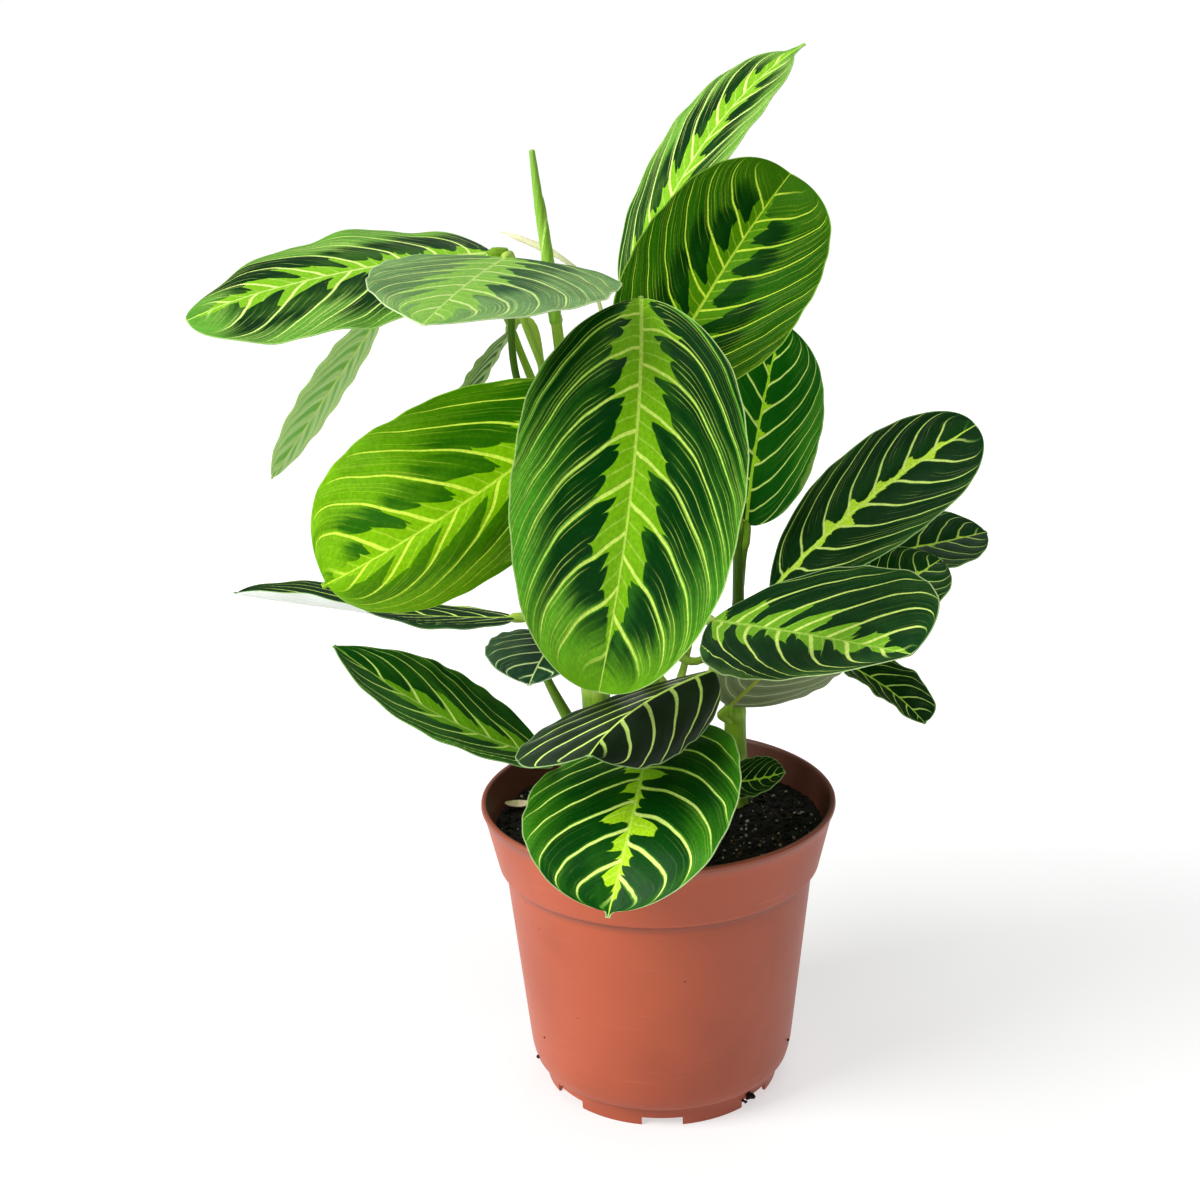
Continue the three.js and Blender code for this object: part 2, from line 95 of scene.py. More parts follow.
# A mesh from points in millimetres and lists of faces, as an object of the scene
def makeObject(name, points, faces):
    mesh = bpy.data.meshes.new(name)
    mesh.from_pydata((np.asarray(points, float) * mm + potAxis).tolist(), [], faces)
    item = bpy.data.objects.new(name, mesh)
    bpy.context.scene.collection.objects.link(item)
    return item


# A piece of the plant, with its materials, its attributes and the nodes that it stands for
def makePiece(name, points, faces, materials, slotName, nodes=(), facePaint=None, attributes=None, crease=45):
    piece = makeObject(name, points, [face.tolist() for block in faces for face in block])
    mesh = piece.data
    for material in materials:
        mesh.materials.append(material)
    if facePaint is not None:
        mesh.polygons.foreach_set("material_index", np.asarray(facePaint, np.int32))
    for label, values in (attributes or {}).items():
        layer = mesh.attributes.new(label, "FLOAT_VECTOR", "POINT")
        layer.data.foreach_set("vector", np.asarray(values, np.float32).ravel())
    mesh.update()
    mesh.shade_smooth()
    mesh.set_sharp_from_angle(angle=math.radians(crease))
    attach(piece, "root")
    if nodes:
        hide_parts(*nodes)
    return piece


# A colour as a screen shows it (0 to 255), turned linear
def colour(red, green, blue):
    channels = [channel / 255 for channel in (red, green, blue)]
    return (*[c / 12.92 if c <= 0.04045 else ((c + 0.055) / 1.055) ** 2.4 for c in channels], 1.0)


# A value inside a node tree. Sums and products of values add math nodes, so that a pattern is written
# as a formula. Where a node takes a colour, a tuple is a colour as a screen shows it.
class Flow:
    def __init__(self, tree, socket):
        self.tree = tree
        self.socket = socket

    def __add__(self, other):
        return addMath("ADD", self, other)

    def __sub__(self, other):
        return addMath("SUBTRACT", self, other)

    def __rsub__(self, other):
        return addMath("SUBTRACT", other, self)

    def __mul__(self, other):
        return addMath("MULTIPLY", self, other)

    def __truediv__(self, other):
        return addMath("DIVIDE", self, other)

    def __abs__(self):
        return addMath("ABSOLUTE", self)


def feed(tree, socket, value):
    if isinstance(value, Flow):
        tree.links.new(value.socket, socket)
    else:
        socket.default_value = colour(*value) if isinstance(value, tuple) else value


# Feeds a node's inputs, in order or at the places given, and gives its first output
def wire(tree, node, values, places=(0, 1, 2, 3, 4)):
    for place, value in zip(places, values):
        feed(tree, node.inputs[place], value)
    return Flow(tree, node.outputs[0])


def treeOf(*values):
    return next(value.tree for value in values if isinstance(value, Flow))


def addMath(operation, *values):
    tree = treeOf(*values)
    node = tree.nodes.new("ShaderNodeMath")
    node.operation = operation
    return wire(tree, node, values)


# A smooth step from start to end as the value goes from low to high
def ease(value, low, high, start=0.0, end=1.0):
    node = value.tree.nodes.new("ShaderNodeMapRange")
    node.interpolation_type = "SMOOTHSTEP"
    return wire(value.tree, node, (value, low, high, start, end))


def mix(factor, first, second, blend="MIX"):
    tree = treeOf(factor, first, second)
    node = tree.nodes.new("ShaderNodeMix")
    node.data_type = "RGBA"
    node.blend_type = blend
    wire(tree, node, (factor, first, second), (0, 6, 7))
    return Flow(tree, node.outputs[2])


def join(x, y, z):
    tree = treeOf(x, y, z)
    return wire(tree, tree.nodes.new("ShaderNodeCombineXYZ"), (x, y, z))


def split(place):
    node = place.tree.nodes.new("ShaderNodeSeparateXYZ")
    wire(place.tree, node, [place])
    return [Flow(place.tree, socket) for socket in node.outputs]


def noise(place, scale, detail=2.0, roughness=0.5):
    node = place.tree.nodes.new("ShaderNodeTexNoise")
    sockets = ("Vector", "Scale", "Detail", "Roughness")
    return wire(place.tree, node, (place, scale, detail, roughness), sockets)


def randomOf(value):
    node = value.tree.nodes.new("ShaderNodeTexWhiteNoise")
    node.noise_dimensions = "1D"
    return wire(value.tree, node, [value], ["W"])


def readAttribute(tree, label):
    node = tree.nodes.new("ShaderNodeAttribute")
    node.attribute_name = label
    return split(Flow(tree, node.outputs["Vector"]))


def objectPlace(tree):
    return Flow(tree, tree.nodes.new("ShaderNodeTexCoord").outputs["Object"])


# A shader group from the names and first values of its inputs and the names of its outputs
def newGroup(name, inputs, outputs):
    group = bpy.data.node_groups.new(name, "ShaderNodeTree")
    for label, value in inputs.items():
        kind = "NodeSocketColor" if isinstance(value, tuple) else "NodeSocketFloat"
        feed(group, group.interface.new_socket(name=label, in_out="INPUT", socket_type=kind), value)
    for label in outputs:
        kind = "NodeSocketColor" if label == "Color" else "NodeSocketFloat"
        group.interface.new_socket(name=label, in_out="OUTPUT", socket_type=kind)
    given = {socket.name: Flow(group, socket) for socket in group.nodes.new("NodeGroupInput").outputs}
    return group, given, group.nodes.new("NodeGroupOutput").inputs


# A material with its Principled shader
def newMaterial(name, roughness, specular=0.5):
    material = bpy.data.materials.new(name)
    material.use_nodes = True
    shader = material.node_tree.nodes["Principled BSDF"]
    shader.inputs["Roughness"].default_value = roughness
    shader.inputs["Specular IOR Level"].default_value = specular
    return material, material.node_tree


# Joins a colour, a bump and, where it varies, a roughness to the material's shader
def finishMaterial(material, body, relief, strength, distance, gloss=None):
    tree = material.node_tree
    shader = tree.nodes["Principled BSDF"]
    feed(tree, shader.inputs["Base Color"], body)
    if gloss:
        feed(tree, shader.inputs["Roughness"], gloss)
    node = tree.nodes.new("ShaderNodeBump")
    bump = wire(tree, node, (relief, strength, distance), ("Height", "Strength", "Distance"))
    feed(tree, shader.inputs["Normal"], bump)
    return material


# What a leaf's upper side may be given: how many veins a side, the lime band by the midrib with its
# teeth and jags, the dark blotches beside it, the lines and the colours
leafPaint = {
    "Veins": 8.5, "Lime Base": 0.1, "Lime Tooth": 0.2, "Tooth Place": 0.3, "Tooth Gap": 0.18,
    "Tooth Rise": 0.5, "Tooth Fall": 0.1, "Tooth Power": 0.8, "Tooth Spread": 0.5, "Jags": 0.09,
    "Lime Lines": 0.28, "Lime Stop": 1.03, "Blotch Reach": 0.8, "Blotch Stop": 1.4, "Blotch Taper": 0.0,
    "Blotch Soft": 0.5, "Blotch Gap": 0.2, "Left Blotch": 1.0, "Right Blotch": 1.0, "Base Shade": 0.0,
    "Ground Lines": 0.3, "Rib Lime": 0.35, "Vein Width": 0.05, "Vein Fade": 0.97, "Streaks": 0.3,
    "Tip Glow": 0.0, "Seed": 0.0, "Lime": (150, 200, 50), "Blotch": (10, 60, 25), "Ground": (35, 110, 30),
    "Vein": (205, 225, 120), "Margin": (190, 210, 150)}

backPaint = {"Veins": 8.0, "Seed": 0.0, "Shadow": 0.4, "Pale": (172, 208, 118), "Dark": (82, 138, 36),
             "Vein": (210, 224, 160), "Rib": (176, 200, 96)}


# Distance to the nearest whole number
def pingPong(value):
    return addMath("PINGPONG", value, 0.5)


# The attribute "rib" holds how far along the veins a point lies, its side of the midrib from -1 to 1 and
# its share of the length. With them come its distance from the midrib and 1 on the right, 0 on the left.
def readRib(tree):
    phase, side, along = readAttribute(tree, "rib")
    return phase, side, along, abs(side), addMath("GREATER_THAN", side, 0.0)


# Veins stand where the count is whole; the two sides are half a step apart, and the count drifts a little
def countVeins(given, phase, side, along, right):
    drift = noise(join(along, side, given["Seed"]), 3.0, 1.0)
    return drift, (drift * 0.03 + phase - 0.015) * given["Veins"] + right * 0.45 + given["Seed"]


# The leaf's pattern. The attribute "reach" holds millimetres to the midrib and to the margin, and the
# distance to the midrib as a share of the blade's widest half.
def makeLeafPattern():
    group, given, result = newGroup("leafPattern", leafPaint, ("Color", "Relief", "Gloss"))
    phase, side, along, away, right = readRib(group)
    drift, count = countVeins(given, phase, side, along, right)
    toVein = pingPong(count)
    fromRib, fromMargin, wide = readAttribute(group, "reach")
    seed = given["Seed"]
    lime, dark, green, pale = (given[name] for name in ("Lime", "Blotch", "Ground", "Vein"))

    # each cell between two veins has a luck of its own, from 0 to 1
    cell = right * 37.3 + addMath("FLOOR", count)
    luck = randomOf(addMath("MULTIPLY_ADD", seed, 11.7, cell))

    # streaks run along the veins
    streak = noise(join(count * 5.0, away * 0.9, seed), 1.6, 3.0, 0.6)
    rough = streak - 0.5
    broad = noise(join(along, side, seed + 5.0), 2.2, 2.0)

    # lime band by the midrib, with one tooth a cell and small jags
    inTooth = addMath("FRACT", count - given["Tooth Place"])
    rise = (inTooth - given["Tooth Gap"]) / given["Tooth Rise"]
    fall = (1.0 - inTooth) / given["Tooth Fall"]
    flat = addMath("SMOOTH_MIN", addMath("SMOOTH_MIN", rise, 1.0, 0.25), fall, 0.25)
    tooth = addMath("POWER", addMath("SMOOTH_MAX", flat, 0.0, 0.2), given["Tooth Power"])
    size = addMath("MAXIMUM", (luck * 2.2 - 1.1) * given["Tooth Spread"] + 1.0, 0.0)
    lobes = drift * 2.2 + count * 3.0
    jagLuck = randomOf(right * 53.1 + addMath("ROUND", lobes))
    cusp = 1.0 - pingPong(lobes) * 2.0
    hollow = addMath("SQRT", 1.0 - cusp * cusp)
    jag = (1.0 - hollow) * (jagLuck * 1.2 + 0.2) * given["Jags"]
    narrowing = ease(along, given["Lime Stop"], given["Lime Stop"] - 0.33)
    waist = narrowing * ease(along, 0.0, 0.16, 0.5, 1.0)
    limeEdge = (given["Lime Base"] + tooth * size * given["Lime Tooth"] + jag) * waist
    middle = abs(wide)
    limeMask = ease(middle, limeEdge + 0.008, limeEdge - 0.008)

    # dark blotches from the lime band outward, narrowing and fading toward the margin
    taper = (0.5 - along) * given["Blotch Taper"] + 1.0
    outer = given["Blotch Reach"] * (luck * 0.5 + 0.75) * taper
    stop = luck * 0.12 + (given["Blotch Stop"] - 0.06)
    shrink = addMath("SQRT", ease(phase, stop, stop - 0.3, 0.0001, 1.0))
    way = (middle - limeEdge) / ((outer - limeEdge) * shrink)
    gap = way * way * given["Blotch Gap"]
    across = ease(rough * 0.25 + toVein, gap, given["Blotch Soft"] * 0.2 + gap)
    lengthwise = ease(rough * 0.7 + way, 1.15, 1.0 - given["Blotch Soft"])
    bySide = right * (given["Right Blotch"] - given["Left Blotch"]) + given["Left Blotch"]
    ending = ease(rough * 0.12 + along, stop - 0.03, stop - 0.16)
    blotchMask = across * lengthwise * bySide * ending

    # veins, midrib, fine lines and the thin pale margin
    tipFade = ease(along, 0.975, 0.87)
    halfWidth = given["Vein Width"] * (away * -0.45 + 1.0)
    ends = luck * 0.1 + given["Vein Fade"]
    veinMask = ease(toVein, halfWidth, halfWidth * 0.45) * ease(away, ends, ends - 0.16) * tipFade
    ribWidth = along * -0.55 + 0.78
    ribMask = ease(fromRib, ribWidth, ribWidth * 0.55)
    fine = ease(pingPong(count * 7.0), 0.16, 0.04)
    fineSome = ease(streak, 0.46, 0.62) * ease(away, 0.25, 0.5)
    fineMask = fine * fineSome * given["Streaks"] * tipFade
    marginMask = ease(fromMargin, 0.5, 0.2)

    # colours, from the ground up
    patchy = ease(broad * 0.6 + streak * 0.4, 0.35, 0.65)
    ground = mix(patchy * 0.6 + 0.05, green, mix(0.55, green, dark))
    lines = ease(noise(join(count * 16.0, away, seed), 1.0, 1.0), 0.5, 0.7) * tipFade
    ground = mix(lines * given["Ground Lines"], ground, pale)
    ground = mix(ease(along, 0.75, 0.25) * given["Base Shade"] * bySide, ground, dark)
    ground = mix(ease(rough * 0.2 + along, 0.68, 1.0) * given["Tip Glow"], ground, lime)
    cloudy = ease(rough * 0.5 + broad, 0.4, 0.75) * 0.22
    body = mix(blotchMask, ground, mix(cloudy, dark, green))
    limeShade = mix(streak * 0.5, lime, mix(0.35, lime, green))
    lined = ease(pingPong(count * 3.0), 0.09, 0.03)
    body = mix(limeMask, body, mix(lined * given["Lime Lines"], limeShade, pale))
    body = mix(fineMask * 0.8, body, pale)
    body = mix(veinMask * 0.95, body, pale)
    body = mix(ribMask, body, mix(given["Rib Lime"], pale, lime))
    body = mix(marginMask * 0.8, body, given["Margin"])
    cells = noise(join(along * 90.0, side * 30.0, seed), 1.0, 1.0)
    grain = ease(cells, 0.3, 0.7, 0.86, 1.06)
    feed(group, result["Color"], mix(1.0, body, grain, "MULTIPLY"))
    feed(group, result["Relief"], cells * 0.25 + (veinMask * -0.6 + streak * 0.35))
    feed(group, result["Gloss"], broad * 0.16 + 0.34)
    return group


# The pale back of a leaf: the same veins, with the blotches showing through faintly
def makeLeafBack():
    group, given, result = newGroup("leafBack", backPaint, ("Color", "Relief"))
    phase, side, along, away, right = readRib(group)
    count = countVeins(given, phase, side, along, right)[1]
    toVein = pingPong(count)
    fromRib = readAttribute(group, "reach")[0]
    streak = noise(join(count * 5.0, away * 1.6, given["Seed"]), 1.6, 3.0, 0.6)
    between = ease((streak - 0.5) * 0.3 + toVein, 0.1, 0.4)
    shade = between * ease(away, 1.0, 0.35) * given["Shadow"]
    body = mix(shade, given["Pale"], given["Dark"])
    body = mix(ease(streak, 0.45, 0.7) * 0.3, body, given["Dark"])
    line = ease(toVein, 0.05, 0.02)
    body = mix(line * 0.7, body, given["Vein"])
    ribWidth = along * -0.8 + 1.2
    ribMask = ease(fromRib, ribWidth, ribWidth * 0.6)
    feed(group, result["Color"], mix(ribMask, body, given["Rib"]))
    feed(group, result["Relief"], line * 0.6 + streak * 0.4 + ribMask)
    return group


leafPattern = makeLeafPattern()
leafBack = makeLeafBack()
print("leaf patterns made")

# Leaf styles, as the plant shows them: what differs from the plain values above
styles = {
    "bold": {
        "Lime": (110, 164, 8), "Blotch": (0, 50, 4), "Ground": (72, 152, 30), "Vein": (190, 218, 92),
        "Margin": (170, 200, 120), "Veins": 9.0, "Lime Base": 0.12, "Lime Tooth": 0.14, "Tooth Place": 0.15,
        "Jags": 0.1, "Blotch Reach": 1.05, "Blotch Taper": 1.0, "Blotch Gap": 0.06, "Blotch Stop": 0.98,
        "Vein Width": 0.062, "Vein Fade": 0.92, "Streaks": 0.8},
    "pale": {
        "Lime": (124, 182, 30), "Blotch": (12, 48, 14), "Ground": (96, 158, 50), "Vein": (214, 234, 134),
        "Margin": (160, 200, 110), "Lime Base": 0.07, "Tooth Fall": 0.12, "Blotch Reach": 0.75,
        "Blotch Stop": 0.96, "Blotch Soft": 0.35, "Blotch Gap": 0.1, "Vein Width": 0.065, "Streaks": 0.6},
    "fresh": {
        "Lime": (76, 132, 0), "Blotch": (0, 48, 0), "Ground": (34, 94, 0), "Vein": (194, 224, 64),
        "Margin": (140, 186, 60), "Lime Base": 0.08, "Lime Tooth": 0.17, "Tooth Place": 0.2,
        "Ground Lines": 0.08, "Jags": 0.07, "Blotch Reach": 0.52, "Blotch Soft": 0.3, "Vein Width": 0.055,
        "Streaks": 0.4},
    "lime": {
        "Lime": (124, 180, 4), "Blotch": (36, 96, 0), "Ground": (114, 176, 6), "Vein": (210, 236, 76),
        "Margin": (150, 200, 60), "Veins": 7.5, "Lime Base": 0.08, "Tooth Place": 0.2, "Ground Lines": 0.12,
        "Blotch Reach": 0.66, "Blotch Taper": 0.8, "Blotch Stop": 1.0, "Blotch Gap": 0.14,
        "Vein Width": 0.07, "Vein Fade": 0.95},
    "dark": {
        "Lime": (206, 248, 60), "Blotch": (10, 50, 14), "Ground": (40, 100, 30), "Vein": (222, 250, 130),
        "Margin": (150, 186, 114), "Veins": 9.0, "Lime Base": 0.03, "Lime Tooth": 0.1, "Tooth Place": 0.6,
        "Tooth Gap": 0.1, "Tooth Rise": 0.4, "Tooth Fall": 0.5, "Tooth Power": 1.6, "Tooth Spread": 0.8,
        "Rib Lime": 0.6, "Ground Lines": 0.15, "Jags": 0.03, "Blotch Reach": 1.5, "Blotch Gap": 0.05,
        "Vein Width": 0.075, "Vein Fade": 0.98, "Streaks": 0.2},
    "deep": {
        "Lime": (180, 228, 34), "Blotch": (4, 62, 8), "Ground": (66, 144, 18), "Vein": (228, 250, 130),
        "Margin": (180, 204, 140), "Veins": 8.0, "Lime Base": 0.02, "Lime Tooth": 0.12, "Tooth Place": 0.65,
        "Tooth Gap": 0.42, "Tooth Rise": 0.16, "Tooth Fall": 0.16, "Tooth Power": 0.6, "Tooth Spread": 1.0,
        "Rib Lime": 0.6, "Ground Lines": 0.1, "Jags": 0.08, "Blotch Reach": 0.95, "Blotch Gap": 0.04,
        "Vein Width": 0.085, "Vein Fade": 0.95, "Streaks": 0.1},
    "grey": {
        "Lime": (150, 206, 84), "Blotch": (38, 80, 40), "Ground": (110, 156, 88), "Vein": (196, 220, 132),
        "Margin": (200, 220, 166), "Lime Base": 0.16, "Lime Tooth": 0.18, "Tooth Fall": 0.2,
        "Blotch Reach": 0.7, "Blotch Stop": 0.78, "Blotch Gap": 0.15, "Vein Width": 0.085, "Streaks": 0.7},
    "dusk": {
        "Lime": (150, 200, 60), "Blotch": (20, 56, 34), "Ground": (70, 112, 72), "Vein": (216, 230, 160),
        "Margin": (180, 200, 160), "Veins": 7.0, "Lime Base": 0.0, "Lime Tooth": 0.0, "Ground Lines": 0.1,
        "Jags": 0.0, "Blotch Reach": 1.2, "Blotch Soft": 0.8, "Blotch Gap": 0.1, "Vein Width": 0.08},
}
styles["young"] = {**styles["dark"], "Veins": 8.0, "Lime Base": 0.01, "Lime Tooth": 0.04}
styles["striped"] = {**styles["dark"], "Lime Base": 0.0, "Lime Tooth": 0.0, "Jags": 0.0, "Streaks": 0.0,
                     "Ground Lines": 0.0}

# A plain leaf and a plain stalk. face is the way the upper side looks (azimuth, height); cup is how far
# each half curls and fold the angle at the midrib, in degrees; pairs hold the left and the right half.
# The stalk leaves its cane at a share of its height, passes the points of via and meets its blade.
plainLeaf = {"cup": [10, 10], "fold": 4, "lift": [0, 0], "taper": [0, 0], "lean": [0.41, 0.41], "skew": 0,
             "shear": 0, "wave": 0, "hook": 0, "widest": 0.5, "root": 0.5, "blunt": 0.62, "point": 0.012,
             "style": "dark", "paint": {}, "back": {}}
plainStalk = {"via": [], "reach": 6, "joint": 1.75, "under": [0, 0, 0], "tone": 0.3}

# Leaves, each with the base, belly and tip of its midrib; paint and back change single values
leaves = {
    "leaf_top_left": {
        "midrib": [[-49, 4, 285], [-93, -10, 282], [-139, -27.7, 272.2]], "width": 51, "face": [-15, 58],
        "cup": [-14, -14], "fold": 0, "wave": 1.2, "hook": 2, "root": 0.66, "widest": 0.56, "blunt": 0.5,
        "taper": [0, 0.4], "point": 0, "style": "pale",
        "stalk": {"cane": "left", "at": 0.86, "via": [[-43, 6, 246], [-44, 7, 270]], "reach": 4,
                  "tone": -0.7}},
    "leaf_draped": {
        "midrib": [[-44, -10, 285], [-53, -54, 283], [-62, -98, 278]], "width": 71, "face": [0, 84],
        "cup": [-10, 8], "fold": 0, "widest": 0.36, "root": 0.45, "blunt": 0.95, "skew": -0.15, "point": 0,
        "style": "grey", "paint": {"Tip Glow": 0.35, "Lime Stop": 1.1, "Lime": (128, 182, 62),
                                   "Right Blotch": 0.4},
        "stalk": {"cane": "left", "at": 0.97, "via": [[-34, 3, 247], [-40, -1, 266]], "reach": 4,
                  "tone": 0.6}},
    "leaf_hanging": {
        "midrib": [[-89, 30, 262], [-107, 24, 238], [-125.5, 16, 212]], "width": 36, "face": [-111, 31],
        "cup": [2, 2], "fold": 2, "style": "bold",
        # its back is painted brighter than a plain back: painted light, standing in for light that shines
        # through the thin leaf
        "back": {"Pale": (212, 248, 156), "Dark": (84, 190, 8), "Rib": (226, 252, 120), "Shadow": 0.7},
        "stalk": {"cane": "left", "at": 0.93, "via": [[-40, 13, 248], [-52, 20, 272], [-74, 30, 277]],
                  "reach": 8}},
    "leaf_narrow_back": {
        "midrib": [[-45, 16, 259], [-54, 22, 244], [-65, 26, 224]], "width": 34, "face": [-104, 33],
        "cup": [4, 4], "style": "bold", "back": {"Pale": (158, 200, 100), "Dark": (30, 84, 6), "Shadow": 0.9},
        "stalk": {"cane": "left", "at": 0.8, "via": [[-34, 12, 240], [-38, 13, 262]], "reach": 5,
                  "tone": 0.9}},
    "leaf_top": {
        "midrib": [[-6, 30, 267], [20, 44, 315], [54, 56, 345]], "width": 39, "face": [-56, 25],
        "cup": [4, 4], "fold": 3, "point": 0.06, "style": "pale",
        "paint": {"Lime Base": 0.14, "Vein Width": 0.075},
        "stalk": {"cane": "middle", "at": 0.95, "via": [[-9, 14, 240]], "reach": 8, "tone": 0.1}},
    "leaf_upper_right": {
        "midrib": [[1, -8, 244], [23, 4, 278], [47, 33, 305]], "width": 56, "face": [10, 25], "skew": 0.02,
        "widest": 0.45, "shear": 0.12, "blunt": 0.45, "point": 0, "style": "fresh",
        "paint": {"Blotch Stop": 0.9, "Lime Stop": 0.95, "Tip Glow": 0.4},
        "stalk": {"cane": "middle", "at": 0.9, "via": [[-4, -2, 226]], "reach": 7}},
    "leaf_front_big": {
        "midrib": [[-4, -42, 276], [-8, -66, 228], [-19, -68, 165]], "width": 67, "face": [0, 15],
        "skew": 0.03, "root": 0.68, "blunt": 0.5, "point": 0, "style": "bold",
        "paint": {"Tip Glow": 0.6, "Lime Stop": 0.95},
        "stalk": {"cane": "middle", "at": 1, "via": [[-9, -13, 236], [-7, -26, 258], [-5.5, -36, 269]],
                  "reach": 1, "joint": 1.0, "under": [0, 1.6, -1.2]}},
    "leaf_lime": {
        "midrib": [[-17, -18, 241], [-60, -46, 216], [-99, -60, 197]], "width": 61, "face": [-10, 30],
        "cup": [-85, 5], "blunt": 0.5, "skew": 0.12, "shear": 0.1, "root": 0.45, "point": 0.02,
        "lean": [0.75, 0.42], "style": "lime",
        "paint": {"Tip Glow": 0.4, "Base Shade": 0.75, "Left Blotch": 0.75},
        "stalk": {"cane": "middle", "at": 0.85, "via": [[-10, -4, 222]]}},
    "leaf_behind": {
        "midrib": [[31, 12, 193], [36, 18, 227], [45, 34, 257]], "width": 41, "face": [0, 20],
        "lean": [0.5, 0.5],
        "paint": {"Lime Base": 0.0, "Lime Tooth": 0.07, "Tooth Power": 2.2, "Lime": (170, 226, 30),
                  "Blotch": (10, 84, 6), "Ground": (50, 130, 20), "Blotch Reach": 1.0, "Rib Lime": 0.9},
        "stalk": {"cane": "right", "at": 0.99, "reach": 8, "tone": -0.6}},
    "leaf_right": {
        "midrib": [[39, 14, 169], [72, 22, 198], [111, 36, 220]], "width": 38, "face": [-10, 35],
        "root": 0.9, "skew": 0.1, "blunt": 0.5, "widest": 0.6, "point": 0,
        "stalk": {"cane": "middle", "at": 0.5, "via": [[13, 6, 148]], "reach": 8, "tone": 0.4}},
    "leaf_far_right": {
        "midrib": [[69, 32, 175], [96, 40, 177], [119, 48, 179]], "width": 30, "face": [0, 60],
        "style": "young", "paint": {"Blotch": (20, 62, 26)},
        "stalk": {"cane": "right", "at": 0.75, "via": [[44, 26, 166]]}},
    "leaf_tucked": {
        "midrib": [[67, 4, 163], [83, 12, 171], [98, 22, 177]], "width": 30, "face": [0, 60],
        "style": "young", "paint": {"Blotch": (10, 62, 14)},
        "stalk": {"cane": "right", "at": 0.55, "via": [[44, 10, 152]]}},
    "leaf_right_front": {
        "midrib": [[19, 4, 163], [48, -32, 169], [72, -70, 175]], "width": 64, "face": [0, 58],
        "cup": [15, 10], "widest": 0.58, "shear": -0.12, "root": 0.8, "point": 0, "lean": [0.5, 0.75],
        "style": "deep",
        "paint": {"Veins": 7.0, "Blotch Reach": 1.3, "Lime Base": 0.03, "Lime Tooth": 0.25,
                  "Tooth Gap": 0.22, "Tooth Rise": 0.22, "Tooth Fall": 0.2, "Tooth Power": 0.7,
                  "Tooth Place": 0.4, "Tooth Spread": 0.4, "Jags": 0.13, "Blotch": (16, 54, 22),
                  "Lime": (130, 190, 44), "Ground": (56, 112, 40)},
        "stalk": {"cane": "middle", "at": 0.32, "via": [[6, 6, 138]], "reach": 7, "tone": 0.7}},
    "leaf_underside": {
        "midrib": [[25, 8, 131], [40, 0, 149], [56, -7, 166]], "width": 50, "face": [-169, 34],
        "skew": -0.28, "back": {"Pale": (126, 140, 98), "Dark": (66, 86, 44), "Rib": (150, 166, 54)},
        "stalk": {"cane": "right", "at": 0.25, "reach": 5, "joint": 1.3}},
    "leaf_crumpled": {
        "midrib": [[60, 30, 141], [79, 19, 133], [91, 5, 124]], "width": 21, "face": [20, 62], "fold": 20,
        "wave": 0.8, "blunt": 0.35, "root": 0.9, "style": "young", "paint": {"Vein Width": 0.09},
        "stalk": {"cane": "right", "at": 0.4, "via": [[43, 26, 145]]}},
    "leaf_edge_left": {
        "midrib": [[-47, 6, 165], [-90, 0, 170], [-137, -4, 179]], "width": 46, "face": [180, 84],
        "cup": [-8, -8], "lift": [42, 25], "lean": [0.65, 0.65], "style": "striped",
        "paint": {"Vein Width": 0.09}, "back": {"Pale": (232, 236, 232), "Dark": (190, 206, 190)},
        "stalk": {"cane": "left", "at": 0.3, "via": [[-32, 5, 152]]}},
    "leaf_lower_left": {
        "midrib": [[-37, -26, 128], [-69, -36, 147], [-101, -32, 170]], "width": 42, "face": [0, 77],
        "cup": [15, 15], "fold": 6, "hook": 1, "blunt": 0.95, "widest": 0.38, "root": 0.38, "point": 0,
        "lean": [0.6, 0.6],
        "paint": {"Veins": 7.0, "Lime Base": 0.14, "Lime Tooth": 0.2, "Tooth Gap": 0.18, "Tooth Rise": 0.5,
                  "Tooth Fall": 0.12, "Tooth Power": 0.8, "Tooth Place": 0.15, "Tooth Spread": 0.4,
                  "Jags": 0.08, "Lime Lines": 0.1, "Lime Stop": 0.85, "Blotch Reach": 1.2,
                  "Ground": (76, 152, 28), "Blotch": (10, 70, 10), "Lime": (112, 172, 16)},
        "stalk": {"cane": "left", "at": 0.2, "via": [[-24, -10, 118]], "reach": 7}},
    "leaf_small": {
        "midrib": [[-29, -8, 164], [-35, -32, 166], [-40, -52, 162]], "width": 38, "face": [-20, 60],
        "style": "dusk", "stalk": {"cane": "left", "at": 0.45, "reach": 5}},
    "leaf_arched": {
        "midrib": [[18, -14, 152], [-7, -56, 156], [-22, -92, 155]], "width": 54, "face": [-20, 75],
        "cup": [-40, 10], "fold": -28, "skew": 0.3, "shear": 0.25, "style": "striped",
        "paint": {"Veins": 6.0, "Vein Width": 0.1, "Rib Lime": 0.2, "Blotch": (22, 40, 20),
                  "Ground": (48, 76, 42)},
        "stalk": {"cane": "middle", "at": 0.25, "via": [[10, -1, 141]]}},
    "leaf_front_low": {
        "midrib": [[-3, -12, 127], [-9, -56, 123], [-18, -80, 98]], "width": 66, "face": [-15, 35],
        "shear": 0.16, "blunt": 0.55, "point": 0.025, "style": "deep",
        "stalk": {"cane": "middle", "at": 0.2}},
    "leaf_little": {
        "midrib": [[18, -6, 109], [30, -14, 113], [41, -20, 118]], "width": 18, "face": [0, 60],
        "stalk": {"cane": "middle", "at": 0.08, "via": [[10, 0, 103]], "reach": 4}},
}

blade = {"thickness": 0.5, "tipWidth": 1.6, "footGap": 0.95, "rows": 100, "columns": 49, "halvings": 22,
         "seedStep": 0.37, "quilt": 0.35, "groove": 0.35, "grooveWidth": 1.6, "ripple": 0.3, "relief": 0.5,
         "reliefDepth": 0.0004}


